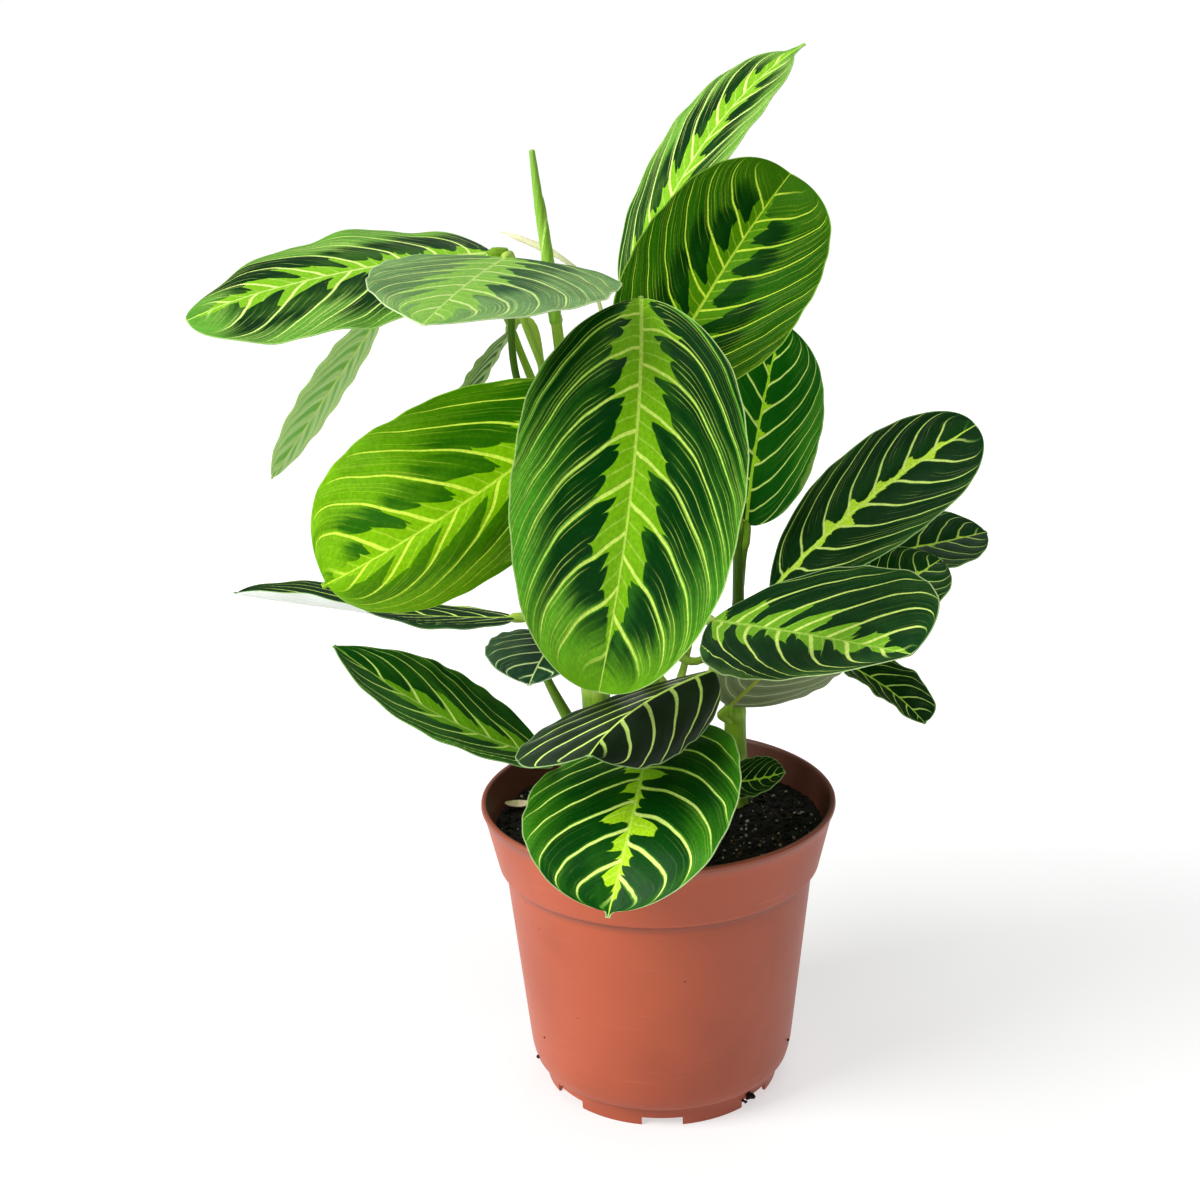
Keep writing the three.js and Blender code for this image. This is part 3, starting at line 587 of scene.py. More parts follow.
# Half-width as a share of the widest: 1 less a power of the way to the base or the tip, to a power;
# a narrow point of the blade runs on past the rounded end
def outline(t, leaf):
    widest = leaf["widest"]
    toBase = np.clip((widest - t) / widest, 0, 1)
    toTip = np.clip((t - widest) / (1 - leaf["point"] - widest), 0, 1)
    lower = (1 - toBase ** 2.3) ** leaf["root"]
    upper = np.maximum(0, 1 - toTip ** 2.2) ** leaf["blunt"]
    return np.where(t < widest, lower, np.maximum(upper, np.minimum(0.3, 2 * (1 - t))))


# The left or the right of a pair of values, by the side of the midrib
def sided(s, pair):
    return np.where(s < 0, pair[0], pair[1])


# Where the vein through a point leaves the midrib. A vein that starts at p has reached p plus a lean
# at the distance a from the midrib; it sets off squarely near the foot and slantwise near the tip,
# where the lean fades. Near the foot a counts from the midrib in shares of the blade's widest half.
# Halving finds p, and the result runs from 0 at the foot to 1 at the tip, closer set near the foot.
def veinPhase(t, s, leaf):
    away = np.abs(s) * np.where(t < leaf["widest"], outline(t, leaf), 1)
    low = np.full(np.shape(t), -0.05)
    high = np.ones(np.shape(t))
    for step in range(blade["halvings"]):
        middle = (low + high) / 2
        straight = np.clip(0.1 + 0.75 * middle, 0.1, 0.85)
        bend = straight * away ** (1 - 0.45 * np.clip(middle, 0, 1) ** 2) + (1 - straight) * away ** 2.2
        lean = sided(s, leaf["lean"]) * (1 - np.clip(middle, 0, 1) ** 3)
        over = middle + lean * bend > t
        high = np.where(over, middle, high)
        low = np.where(over, low, middle)
    return np.clip((low + 0.05) / 1.05, 0, 1) ** 0.8


# A blade's middle surface and its half-width: a midrib on a quadratic curve, and each half an arc of a
# circle that starts at the fold angle and turns by the cup angle; waves, ripples at the margin, quilting
# between the veins and a groove over the midrib are added on top
def bladeSurface(leaf, t, s, seed, veins):
    base, belly, tip = np.array(leaf["midrib"], float)
    bend = 2 * belly - (base + tip) / 2
    share = t[..., None]
    centre = (1 - share) ** 2 * base + 2 * share * (1 - share) * bend + share ** 2 * tip
    along = unit((1 - share) * (bend - base) + share * (tip - bend))
    azimuth, height = np.radians(leaf["face"])
    face = np.array([math.sin(azimuth) * math.cos(height), -math.cos(azimuth) * math.cos(height),
                     math.sin(height)])
    side = unit(np.cross(along, face))
    up = np.cross(side, along)
    sign = sided(s, (-1.0, 1.0))
    away = np.abs(s)
    half = leaf["width"] / 2 * outline(t, leaf) * (1 + leaf["skew"] * sign)
    half = half * (1 - sided(s, leaf["taper"]) * ramp(0.5, 1, t))
    edge = 0.007 * np.sin(23 * t + 5 * sign + seed) + 0.004 * np.sin(61 * t + 3 * sign + 2 * seed)
    half = np.maximum(half * (1 + edge), blade["tipWidth"] / 2)
    cups = sided(s, leaf["cup"]) + sided(s, leaf["lift"]) * ramp(0.3, 0.8, t)
    cup = np.radians(np.where(np.abs(cups) < 0.1, 0.1, cups))
    fold = math.radians(leaf["fold"])
    out = half * (np.sin(fold + cup * away) - math.sin(fold)) / cup
    arc = half * (math.cos(fold) - np.cos(fold + cup * away)) / cup
    ends = np.sqrt(np.clip(np.sin(np.pi * t), 0, 1))
    wave = leaf["wave"] * away ** 2.5 * np.sin(fullTurn * (3 * t + sided(s, (0.37, 0)))) * ends
    ripple = blade["ripple"] * away ** 3 * np.sin(fullTurn * (6.3 * t + 0.4 * sign) + seed) * ends
    hook = leaf["hook"] * np.maximum(0, (t - 0.75) / 0.25) ** 2
    count = veinPhase(t, s, leaf) * veins + seed + sided(-s, (0.45, 0))
    swell = (0.5 - 0.5 * np.cos(fullTurn * count)) * ramp(0.02, 0.25, away) * ramp(1.02, 0.8, away)
    groove = blade["groove"] * np.exp(-(out / blade["grooveWidth"]) ** 2)
    rise = arc + wave + ripple - hook + (blade["quilt"] * swell - groove) * ends
    move = (sign * out)[..., None]
    return centre + move * side + move * leaf["shear"] * along + rise[..., None] * up, half


# A leaf's material: a shader group with its values
def leafMaterial(name, group, values, roughness, specular):
    material, tree = newMaterial(name, roughness, specular)
    node = tree.nodes.new("ShaderNodeGroup")
    node.node_tree = group
    wire(tree, node, values.values(), values.keys())
    outputs = {socket.name: Flow(tree, socket) for socket in node.outputs}
    return finishMaterial(material, outputs["Color"], outputs["Relief"], blade["relief"],
                          blade["reliefDepth"], outputs.get("Gloss"))


# Both faces of a blade, half a thickness either side of the middle surface, closed round the edge
def makeBlade(name, leaf, seed):
    rows = blade["rows"]
    columns = blade["columns"]
    reach = 2 * np.linalg.norm(np.subtract(leaf["midrib"][1], leaf["midrib"][0]))
    start = blade["footGap"] / reach * 0.3
    t = start + (1 - start) * (0.5 - 0.5 * np.cos(np.pi * np.linspace(0, 1, rows)))
    s = np.sin(np.pi / 2 * np.linspace(-1, 1, columns)) * 0.35 + np.linspace(-1, 1, columns) * 0.65
    t, s = np.meshgrid(t, s, indexing="ij")
    values = {**leafPaint, **styles[leaf["style"]], **leaf["paint"], "Seed": seed}
    veins = values["Veins"]
    point, half = bladeSurface(leaf, t, s, seed, veins)
    step = 1e-3
    ahead = bladeSurface(leaf, np.minimum(1, t + step), s, seed, veins)[0]
    behind = bladeSurface(leaf, np.maximum(0, t - step), s, seed, veins)[0]
    beside = bladeSurface(leaf, t, np.minimum(1, s + step), seed, veins)[0]
    before = bladeSurface(leaf, t, np.maximum(-1, s - step), seed, veins)[0]
    normal = unit(np.cross(beside - before, ahead - behind))
    thick = blade["thickness"] / 2 * (1 - 0.45 * np.abs(s) ** 4)[..., None]
    points = np.concatenate([(point + way * normal * thick).reshape(-1, 3) for way in (1, -1)])
    faces = sheetFaces(rows, columns)
    facePaint = np.repeat([0, 1, 0], [len(block) for block in faces])
    rib = np.stack([veinPhase(t, s, leaf), s, t], -1).reshape(-1, 3)
    toMargin = np.minimum((1 - np.abs(s)) * half, (1 - t) * reach)
    fromRib = np.abs(s) * half
    measure = np.stack([fromRib, toMargin, fromRib / (0.5 * leaf["width"])], -1).reshape(-1, 3)
    front = leafMaterial(name + "Front", leafPattern, values, 0.4, 0.07)
    back = leafMaterial(name + "Back", leafBack, {"Veins": veins, "Seed": seed, **leaf["back"]}, 0.6, 0.15)
    makePiece(name + "_blade", points, faces, [front, back], "leaf_lime" if name == "leaf_lime" else "leaf",
              [name], facePaint, {"rib": np.tile(rib, (2, 1)), "reach": np.tile(measure, (2, 1))})


for index, name in enumerate(leaves):
    leaves[name] = {**plainLeaf, **leaves[name]}
    makeBlade(name, leaves[name], blade["seedStep"] * index)
print("blades made:", len(leaves))

# Stems. Canes rise from the soil. Extras are stalks without a leaf: an old sheath low on the left and
# the stalk below the furled leaf, and the dry end of the right cane.
canes = {
    "left": {
        "points": [[-18, 0, 84], [-18, 0, 96], [-20, 2, 128], [-21, 5, 165], [-25, 8, 204]],
        "radii": [4.2, 4.4, 4.8, 4.2, 2.2], "shade": 0,
        "extras": [{"points": [[-21, 1, 112], [-28, -3, 129], [-36.5, -3, 147.3], [-41, 3.5, 159.5]],
                    "radii": [2.6, 2.2, 1.5, 0.9], "tones": [-0.4, -0.6, -0.6, -0.4]},
                   {"points": [[-25, 8, 200], [-27.5, 10.5, 238], [-29.9, 12, 263]],
                    "radii": [2.2, 1.8], "tones": [0.5, 0.5]}]},
    "middle": {
        "points": [[2, 5, 84], [2, 5, 96], [-1, 7, 130], [-4, 7, 170], [-6, 6, 212]],
        "radii": [3.8, 4, 4.2, 3.6, 2], "shade": 0, "extras": []},
    "right": {
        "points": [[28, 15, 84], [28, 15, 96], [27.5, 16, 124], [28, 16, 150], [29, 17, 172]],
        "radii": [3.5, 3.7, 3.6, 2.8, 1.8], "shade": 1.0,
        "extras": [{"points": [[28.6, 16, 166], [28.5, 12.5, 184], [28.2, 9, 202]],
                    "radii": [1.9, 1.9, 1.4], "tones": [-1, -0.8, 2]}]},
}

stem = {"sheath": 2.4, "radius": 1.2, "jointLength": 8, "dip": 1.6, "sides": 14, "step": 2.2, "fewest": 12,
        "lowest": 0.24, "extraRows": 40, "caneSides": 20, "caneRows": 70, "caneSteps": 200, "knots": 5.3,
        "knotSize": 0.22, "spanSteps": 40}


# A smooth curve through points, evenly spaced by length: each span is a cubic whose end slopes
# come from its neighbours, timed by the square root of the distances
def smoothPath(points, count):
    points = np.asarray(points, float)
    points = np.vstack([2 * points[0] - points[1], points, 2 * points[-1] - points[-2]])
    gaps = np.sqrt(np.linalg.norm(np.diff(points, axis=0), axis=1))
    knots = np.concatenate([[0], np.cumsum(gaps)])
    spans = []
    for i in range(1, len(points) - 2):
        u = np.linspace(knots[i], knots[i + 1], stem["spanSteps"])[:, None]
        p = points[i - 1:i + 3]
        k = knots[i - 1:i + 3]
        first = [((k[j + 1] - u) * p[j] + (u - k[j]) * p[j + 1]) / (k[j + 1] - k[j]) for j in range(3)]
        second = [((k[j + 2] - u) * first[j] + (u - k[j]) * first[j + 1]) / (k[j + 2] - k[j])
                  for j in range(2)]
        spans.append(((k[2] - u) * second[0] + (u - k[1]) * second[1]) / (k[2] - k[1]))
    line = np.concatenate(spans)
    length = np.concatenate([[0], np.cumsum(np.linalg.norm(np.diff(line, axis=0), axis=1))])
    even = np.linspace(0, length[-1], count)
    return np.stack([np.interp(even, length, line[:, axis]) for axis in range(3)], -1), length[-1]


# A tube: rings of points round a path, square to it, each with its own radius; domed ends
def tubeGrid(path, radii, sides, swell):
    tangent = unit(np.gradient(path, axis=0))
    reference = np.eye(3)[np.argmin(np.abs(tangent).mean(0))]
    across = unit(reference - (tangent @ reference)[:, None] * tangent)
    other = np.cross(tangent, across)
    turn = circle(sides)[None, :, None]
    size = radii[:, None] * swell
    rings = path[:, None] + size[..., None] * (np.cos(turn) * across[:, None] + np.sin(turn) * other[:, None])
    caps = []
    for end, sign in ((0, -1), (-1, 1)):
        for lift, width in ((0.5, 0.86), (0.86, 0.5)):
            centre = path[end] + sign * tangent[end] * radii[end] * lift * 0.7
            caps.append(centre + (rings[end] - path[end]) * width)
    return np.concatenate([[caps[1]], [caps[0]], rings, [caps[2]], [caps[3]]])


# Values along a path, with the end ones said twice more for the domes
def withCaps(values):
    return np.concatenate([values[:1], values[:1], values, values[-1:], values[-1:]])


# Faces of a stack of rings, closed at both ends
def ringFaces(rows, sides):
    first = np.arange(sides)[::-1]
    last = (rows - 1) * sides + np.arange(sides)
    return [gridFaces(rows, sides, True), first[None], last[None]]


# Points, faces and the "run" attribute (millimetres along, turn round, tone) of one tube
def tubeParts(path, length, radii, sides, tones, swell=1):
    rings = tubeGrid(path, radii, sides, swell)
    rows = len(rings)
    turn = np.broadcast_to(np.arange(sides) / sides, (rows, sides))
    run = np.broadcast_to(np.linspace(0, length, rows)[:, None], (rows, sides))
    marks = np.stack([run, turn, np.broadcast_to(withCaps(tones)[:, None], (rows, sides))], -1)
    return rings.reshape(-1, 3), ringFaces(rows, sides), marks.reshape(-1, 3)


# Joins several tubes in one mesh
def joinParts(parts):
    points, faces, marks = zip(*parts)
    starts = np.cumsum([0] + [len(block) for block in points])
    moved = [block + start for blocks, start in zip(faces, starts) for block in blocks]
    return np.concatenate(points), moved, np.concatenate(marks)


# Stem colouring from the "run" attribute: streaks along it, tone -1 dark, 0 green, 1 pale sheath, 2 brown
def makeStemMaterial():
    material, tree = newMaterial("stemSkin", 0.45, 0.2)
    run, turn, tone = readAttribute(tree, "run")
    angle = turn * fullTurn
    east = addMath("COSINE", angle)
    north = addMath("SINE", angle)
    streak = noise(join(east, north, run * 0.02), 5.0, 3.0, 0.6)
    spots = noise(join(east, north, run * 0.25), 1.3, 2.0)
    green = mix(streak, (58, 112, 8), (160, 204, 44))
    green = mix(ease(spots, 0.56, 0.9), green, (96, 104, 26))
    body = mix(ease(tone, -1.0, 0.0), mix(streak, (30, 62, 8), (84, 124, 26)), green)
    body = mix(ease(tone, 0.0, 1.0), body, mix(streak, (120, 168, 24), (204, 226, 108)))
    body = mix(ease(tone, 1.2, 2.0), body, mix(streak, (74, 46, 24), (150, 110, 62)))
    return finishMaterial(material, body, streak, 0.5, 0.0005)


# A stalk: sheath at the cane, slim stalk, swollen joint that dips into the foot of the blade
def stalkParts(leaf):
    plan = {**plainStalk, **leaf["stalk"]}
    cane = smoothPath(canes[plan["cane"]]["points"], stem["caneSteps"])[0]
    start = cane[int((len(cane) - 1) * (stem["lowest"] + (1 - stem["lowest"]) * plan["at"]))]
    base, belly, tip = np.array(leaf["midrib"], float)
    direction = unit(2 * belly - 1.5 * base - 0.5 * tip)
    before = [base - share * plan["reach"] * direction + plan["under"] for share in (1, 0.4)]
    points = [start, *plan["via"], *before, base + direction * stem["dip"]]
    count = stem["fewest"] + int(np.linalg.norm(base - start) / stem["step"])
    path, length = smoothPath(points, count)
    share = np.linspace(0, 1, count)
    fromEnd = length * (1 - share)
    sheath = min(stem["sheath"] - stem["radius"], 0.03 * length) * np.clip(1 - share / 0.45, 0, 1)
    joint = (plan["joint"] - stem["radius"]) * ramp(stem["jointLength"] + 2, stem["jointLength"] - 1, fromEnd)
    radii = (stem["radius"] + sheath + joint) * (1 - 0.62 * ramp(1.8, 0.0, fromEnd))
    sheathTone = 0.9 * ramp(0.5, 0.1, share) * (1 - abs(plan["tone"]))
    return tubeParts(path, length, radii, stem["sides"], plan["tone"] + sheathTone + 0.7 * ramp(0, 1, joint))


# A cane with its joints: rings swell a little where a leaf leaves it
def caneParts(plan):
    rows = stem["caneRows"]
    path, length = smoothPath(plan["points"], rows)
    share = np.linspace(0, 1, rows)
    radii = np.interp(share, np.linspace(0, 1, len(plan["radii"])), plan["radii"])
    toKnot = ((share * stem["knots"]) % 1 - 0.5) ** 2
    turn = circle(stem["caneSides"])
    swell = 1 + 0.05 * np.cos(2 * turn[None, :] + 3 * share[:, None]) + 0.03 * np.cos(5 * turn[None, :])
    tones = 0.1 + 0.7 * np.exp(-toKnot / 0.01) + 0.3 * ramp(0.25, 0.0, share)
    tones = tones - plan["shade"] * ramp(0.35, 0.8, share)
    radii = radii + stem["knotSize"] * np.exp(-toKnot / 0.006)
    return tubeParts(path, length, radii, stem["caneSides"], tones, swell)


# A stalk without a leaf, with its radii and tones given along it
def extraParts(plan):
    path, length = smoothPath(plan["points"], stem["extraRows"])
    share = np.linspace(0, 1, stem["extraRows"])
    known = np.linspace(0, 1, len(plan["radii"]))
    return tubeParts(path, length, np.interp(share, known, plan["radii"]), stem["sides"],
                     np.interp(share ** 2, known, plan["tones"]))


stemSkin = makeStemMaterial()
for name, cane in canes.items():
    stalks = [stalkParts(leaf) for leaf in leaves.values() if leaf["stalk"]["cane"] == name]
    extras = [extraParts(plan) for plan in cane["extras"]]
    points, faces, marks = joinParts([caneParts(cane), *stalks, *extras])
    makePiece("stems_" + name, points, faces, [stemSkin], "stems", ["cane_" + name], None, {"run": marks})
print("stems made")

# The furled new leaf
spike = {"points": [[-29.9, 12, 262.2], [-31.6, 12, 278.5], [-33.8, 12, 297], [-35.7, 12, 315]],
         "radii": [2.4, 2.3, 1.9, 1.0], "turns": 1.4, "step": 0.2, "rows": 90, "sides": 48}


# The spike: a tube whose ring is a spiral, so a small step shows where the leaf's edge lies on top
def makeSpike():
    path, length = smoothPath(spike["points"], spike["rows"])
    share = np.linspace(0, 1, spike["rows"])
    radii = np.interp(share, np.linspace(0, 1, len(spike["radii"])), spike["radii"])
    turn = np.arange(spike["sides"]) / spike["sides"]
    seam = (turn[None, :] + 0.2 - spike["turns"] * share[:, None]) % 1
    swell = 1 - spike["step"] * seam + 0.02 * np.sin(40 * seam)
    points, faces, marks = tubeParts(path, length, radii, spike["sides"], share, swell)
    marks[:, 2] = withCaps(seam).ravel()
    material, tree = newMaterial("spikeSkin", 0.42, 0.2)
    run, seamMark = readAttribute(tree, "run")[::2]
    lines = noise(join(seamMark * 30.0, run * 0.06, 0.0), 1.0, 2.0)
    body = mix(lines, (92, 152, 24), (160, 204, 76))
    body = mix(ease(seamMark, 0.93, 1.0), body, (200, 222, 130))
    body = mix(ease(run, length * 0.55, length) * 0.5, body, (120, 166, 66))
    finishMaterial(material, body, lines, 0.4, 0.0004)
    makePiece("furled_leaf", points, faces, [material], "new_leaf", ["spike"], None, {"run": marks}, 30)


# The flower stalk. A bulge has a size, a place along the stalk and a spread, both shares of its length.
flower = {"points": [[-9.3, 6.5, 205], [-10.5, 8, 222], [-13, 13, 250], [-18, 17, 272], [-28, 19, 281.5],
                     [-38, 20, 286.5], [-47, 21, 290]], "radius": 0.7, "rows": 110, "sides": 14,
          "bulges": ((0.55, 0.86, 0.06), (0.25, 0.95, 0.03))}


# A thin tube that swells to a slim bud near its end: each bulge falls off as a bell curve
def makeFlower():
    path, length = smoothPath(flower["points"], flower["rows"])
    share = np.linspace(0, 1, flower["rows"])
    bud = sum(size * np.exp(-((share - place) / spread) ** 2) for size, place, spread in flower["bulges"])
    radii = (flower["radius"] + bud) * (1 - 0.75 * ramp(0.93, 1.0, share))
    points, faces, marks = tubeParts(path, length, radii, flower["sides"], share)
    material, tree = newMaterial("flowerSkin", 0.5, 0.4)
    run, around, way = readAttribute(tree, "run")
    mottle = noise(join(run * 0.3, around * 4.0, 0.0), 2.0, 2.0)
    body = mix(mottle, (222, 220, 168), (236, 232, 196))
    body = mix(ease(way, 0.8, 0.45), body, (172, 192, 100))
    finishMaterial(material, body, mottle, 0.3, 0.0003)
    makePiece("flower_stem", points, faces, [material], "flower", ["flower_stalk"], None, {"run": marks})


makeSpike()
makeFlower()
print("spike and flower stalk made")

# Pot. The profile runs from the foot ring up the outside, over the rolled lip and down inside.
pot = {"segments": 224, "notchCount": 7, "notchWidth": 13.7, "notchHeights": (-3, 3), "notchReach": (36, 44),
       "notchTurn": -92, "drainRadius": 4.5, "drainCircle": 27, "drainHeights": (5, 11), "drainSides": 28,
       "crease": 32}
potProfile = [
    [39.3, 0.25], [39.5, 0], [40.4, 0], [40.6, 0.25], [40.95, 6.9], [41.2, 7.35], [43.0, 7.6], [43.9, 8.1],
    [44.55, 9.0], [45.1, 10.9], [45.65, 13.5], [45.95, 16], [52.3, 77.6], [52.55, 78.9], [53.1, 79.8],
    [54.3, 80.6], [54.75, 81.1], [54.95, 82], [58.45, 97.2], [58.6, 98], [59.4, 100.6], [59.75, 101],
    [59.98, 101.6], [59.9, 102.4], [59.55, 102.85], [58.9, 103], [58.35, 102.8], [58.05, 102.3],
    [57.9, 101.6], [57.2, 98], [57.0, 97.2], [53.75, 82.2], [53.5, 81.6], [51.4, 79.3], [51.2, 77.8],
    [44.75, 16], [44.3, 12.5], [43.3, 9.4], [42.0, 8.7], [0.02, 8.7],
    [0.02, 7.5], [38.9, 7.2], [39.15, 6.8],
]


# Rings of points round the axis, one for each radius and height
def latheGrid(profile, segments):
    profile = np.asarray(profile, float)
    turn = circle(segments)
    flat = profile[:, None, :1] * np.stack([np.cos(turn), np.sin(turn)], -1)[None]
    height = np.broadcast_to(profile[:, None, 1:], (len(profile), segments, 1))
    return np.concatenate([flat, height], -1)


# Blocks for the foot notches and short rods for the drain holes, as one cutter
def makeCutter():
    points = []
    faces = []
    half = pot["notchWidth"] / 2
    corner = np.array([[x, y, z] for x in pot["notchReach"] for y in (-half, half)
                       for z in pot["notchHeights"]])
    blockFaces = [[0, 1, 3, 2], [4, 6, 7, 5], [0, 4, 5, 1], [2, 3, 7, 6], [0, 2, 6, 4], [1, 5, 7, 3]]
    sides = pot["drainSides"]
    for i in range(pot["notchCount"]):
        angle = math.radians(pot["notchTurn"] + 360 * i / pot["notchCount"])
        x, y = spun(corner[:, 0], corner[:, 1], angle)
        faces += [[index + len(points) for index in face] for face in blockFaces]
        points += np.stack([x, y, corner[:, 2]], -1).tolist()
        angle += math.pi / pot["notchCount"]
        faces += [face.tolist() for block in ringFaces(2, sides) for face in block + len(points)]
        rod = latheGrid([[pot["drainRadius"], height] for height in pot["drainHeights"]], sides)
        rod += pot["drainCircle"] * np.array([math.cos(angle), math.sin(angle), 0])
        points += rod.reshape(-1, 3).tolist()
    return makeObject("cutter", points, faces)


# Moulded plastic: clay red, browner on the lip, with painted shade on the inner wall, and with dust, faint
# scuffs and soil specks
def makePotMaterial():
    material, tree = newMaterial("potPlastic", 0.42, 0.45)
    place = objectPlace(tree)
    x, y, height = split(place)
    x = x - float(potAxis[0])
    y = y - float(potAxis[1])
    radius = addMath("SQRT", x * x + y * y)
    cloud = noise(place, 14.0, 3.0, 0.55)
    body = mix(ease(cloud, 0.35, 0.7), (174, 78, 44), (156, 67, 36))
    body = mix(ease(height, 0.098, 0.1012) * 0.75, body, (132, 68, 48))
    # painted shade: the inner wall above the soil is darkened to a deep brown
    wall = height * 0.22 + 0.0363
    inside = ease(wall - radius, -0.0002, 0.0004) * ease(height, 0.076, 0.082)
    body = mix(inside, body, (104, 54, 38))
    scuff = noise(join(x * 40.0, y * 40.0, height * 900.0), 1.0, 2.0)
    body = mix(ease(scuff, 0.64, 0.76) * 0.07, body, (226, 158, 132))
    node = tree.nodes.new("ShaderNodeTexVoronoi")
    specks = wire(tree, node, (place, 160.0), ("Vector", "Scale"))
    dirt = ease(specks, 0.06, 0.03) * ease(noise(place, 45.0, 1.0), 0.6, 0.66)
    body = mix(dirt * 0.85, body, (58, 34, 24))
    gloss = dirt * 0.3 + (cloud * 0.18 + 0.36)
    return finishMaterial(material, body, dirt * 1.5 + noise(place, 900.0, 2.0) * 0.25, 0.4, 0.0003, gloss)


# The pot: its profile carried round the axis and closed, less the notches and the holes
def makePot():
    grid = latheGrid(potProfile, pot["segments"])
    faces = gridFaces(len(grid) + 1, pot["segments"], True) % (len(grid) * pot["segments"])
    shell = makePiece("pot_shell", grid.reshape(-1, 3), [faces], [makePotMaterial()], "pot", ["pot"])
    cutter = makeCutter()
    cut = shell.modifiers.new("cut", "BOOLEAN")
    cut.operation = "DIFFERENCE"
    cut.solver = "EXACT"
    cut.object = cutter
    shown = shell.evaluated_get(bpy.context.evaluated_depsgraph_get())
    finished = bpy.data.meshes.new_from_object(shown)
    shell.modifiers.clear()
    shell.data = finished
    bpy.data.objects.remove(cutter)
    finished.shade_smooth()
    finished.set_sharp_from_angle(angle=math.radians(pot["crease"]))


makePot()
print("pot made")

# Soil. A lumpy disc with a skirt, closed underneath, and loose grains on top; a skin is a material's
# name, dark and light colour, roughness and fineness.
soil = {"top": 92, "edge": 56.2, "rings": 70, "spokes": 240, "lump": 1.1, "seed": 7,
        "skirt": [[38, 9.6], [43, 10.5], [44.4, 16], [50.8, 77], [54.5, 84]],
        "waves": ((0.11, 0.3, 1.0), (0.23, 1.4, 2.2), (0.41, 2.3, 0.4), (0.83, 0.9, 3.1),
                  (1.37, 1.9, 5.0), (2.1, 0.1, 1.7))}
grains = {
    "soil_crumbs": {"count": 2600, "inset": 1.5, "lift": 0, "sizes": (0.5, 1.5), "stretch": (1, 0.8, 0.6),
                    "seed": 11, "skin": ("soilCrumb", (6, 5, 4), (32, 24, 18), 0.9, 500.0)},
    "soil_perlite": {"count": 420, "inset": 2, "lift": 0.3, "sizes": (0.25, 0.7), "stretch": (1, 0.9, 0.8),
                     "seed": 12, "skin": ("perlite", (150, 144, 132), (232, 228, 218), 0.8, 900.0)},
    "soil_bark": {"count": 160, "inset": 5, "lift": 0.3, "sizes": (0.8, 1.8), "stretch": (1.7, 0.5, 0.3),
                  "seed": 13, "skin": ("bark", (34, 22, 14), (96, 66, 44), 0.85, 700.0)},
}
# how far a grain's corners are moved, how much each side is stretched and how far it tilts, in radians
jitter = {"corner": 0.3, "stretch": (0.7, 1.3), "tilt": (-0.5, 0.5)}
# crumbs by the foot of the pot and those that cling to its wall, with their sizes
strayCrumbs = {
    "places": [[28.6, -29.2, 3.2], [29.8, -28.2, 2.6], [28.2, -29.6, 4.4], [26.4, -31.3, 3.0],
               [27.4, -30.6, 2.0], [-43.2, -12.9, 10.6], [-40.5, -23.4, 24.3], [-35, -20.9, 3.4],
               [6.1, -50, 59.2], [42.9, -16.6, 16.9]],
    "sizes": [1.5, 1.2, 1.1, 0.8, 0.8, 0.9, 0.4, 0.5, 0.35, 0.6], "stretch": (1, 0.8, 0.9), "seed": 14}


# Height of the soil: a few crossed waves of falling size
def soilHeight(x, y):
    height = np.zeros_like(x)
    for size, turn, shift in soil["waves"]:
        across, beside = spun(x, y, -turn)
        height += np.sin(across * size + shift) * np.sin(beside * size * 0.8 + 2 * shift) * 0.16 / size ** 0.4
    return soil["top"] + soil["lump"] * height


def makeSoilMaterial(name, dark, light, roughness, scale):
    material, tree = newMaterial(name, roughness, 0.3)
    grain = noise(objectPlace(tree), scale, 5.0, 0.7)
    return finishMaterial(material, mix(ease(grain, 0.35, 0.72), dark, light), grain, 1.0, 0.0015)


def makeSoil():
    turn = circle(soil["spokes"])
    radius = soil["edge"] * np.linspace(1, 0.004, soil["rings"])
    x = radius[:, None] * np.cos(turn)
    y = radius[:, None] * np.sin(turn)
    grid = np.concatenate([latheGrid(soil["skirt"], soil["spokes"]), np.stack([x, y, soilHeight(x, y)], -1)])
    material = makeSoilMaterial("soilEarth", (6, 4, 3), (30, 22, 17), 0.9, 260.0)
    makePiece("soil_bed", grid.reshape(-1, 3), ringFaces(len(grid), soil["spokes"]), [material], "soil",
              ["soil"], None, None, 180)


# Twenty-sided grains, each stretched, turned and jittered on its own
def makeGrains(name, places, sizes, material, stretch, seed):
    chance = np.random.default_rng(seed)
    golden = (1 + 5 ** 0.5) / 2
    ball = unit(np.array([[-1, golden, 0], [1, golden, 0], [-1, -golden, 0], [1, -golden, 0], [0, -1, golden],
                          [0, 1, golden], [0, -1, -golden], [0, 1, -golden], [golden, 0, -1], [golden, 0, 1],
                          [-golden, 0, -1], [-golden, 0, 1]], float))
    shell = np.array([[0, 11, 5], [0, 5, 1], [0, 1, 7], [0, 7, 10], [0, 10, 11], [1, 5, 9], [5, 11, 4],
                      [11, 10, 2], [10, 7, 6], [7, 1, 8], [3, 9, 4], [3, 4, 2], [3, 2, 6], [3, 6, 8],
                      [3, 8, 9], [4, 9, 5], [2, 4, 11], [6, 2, 10], [8, 6, 7], [9, 8, 1]])
    count = len(places)
    shape = ball[None] * (1 + jitter["corner"] * chance.uniform(-1, 1, (count, len(ball), 1)))
    shape = shape * (np.array(stretch) * chance.uniform(*jitter["stretch"], (count, 3)))[:, None]
    spin = chance.uniform(0, fullTurn, count)[:, None]
    tilt = chance.uniform(*jitter["tilt"], count)[:, None]
    x, z = spun(shape[..., 0], shape[..., 2], tilt)
    x, y = spun(x, shape[..., 1], spin)
    points = np.stack([x, y, z], -1) * np.asarray(sizes)[:, None, None] + np.asarray(places)[:, None]
    faces = (shell[None] + len(ball) * np.arange(count)[:, None, None]).reshape(-1, 3)
    makePiece(name, points.reshape(-1, 3), [faces], [material], "soil")


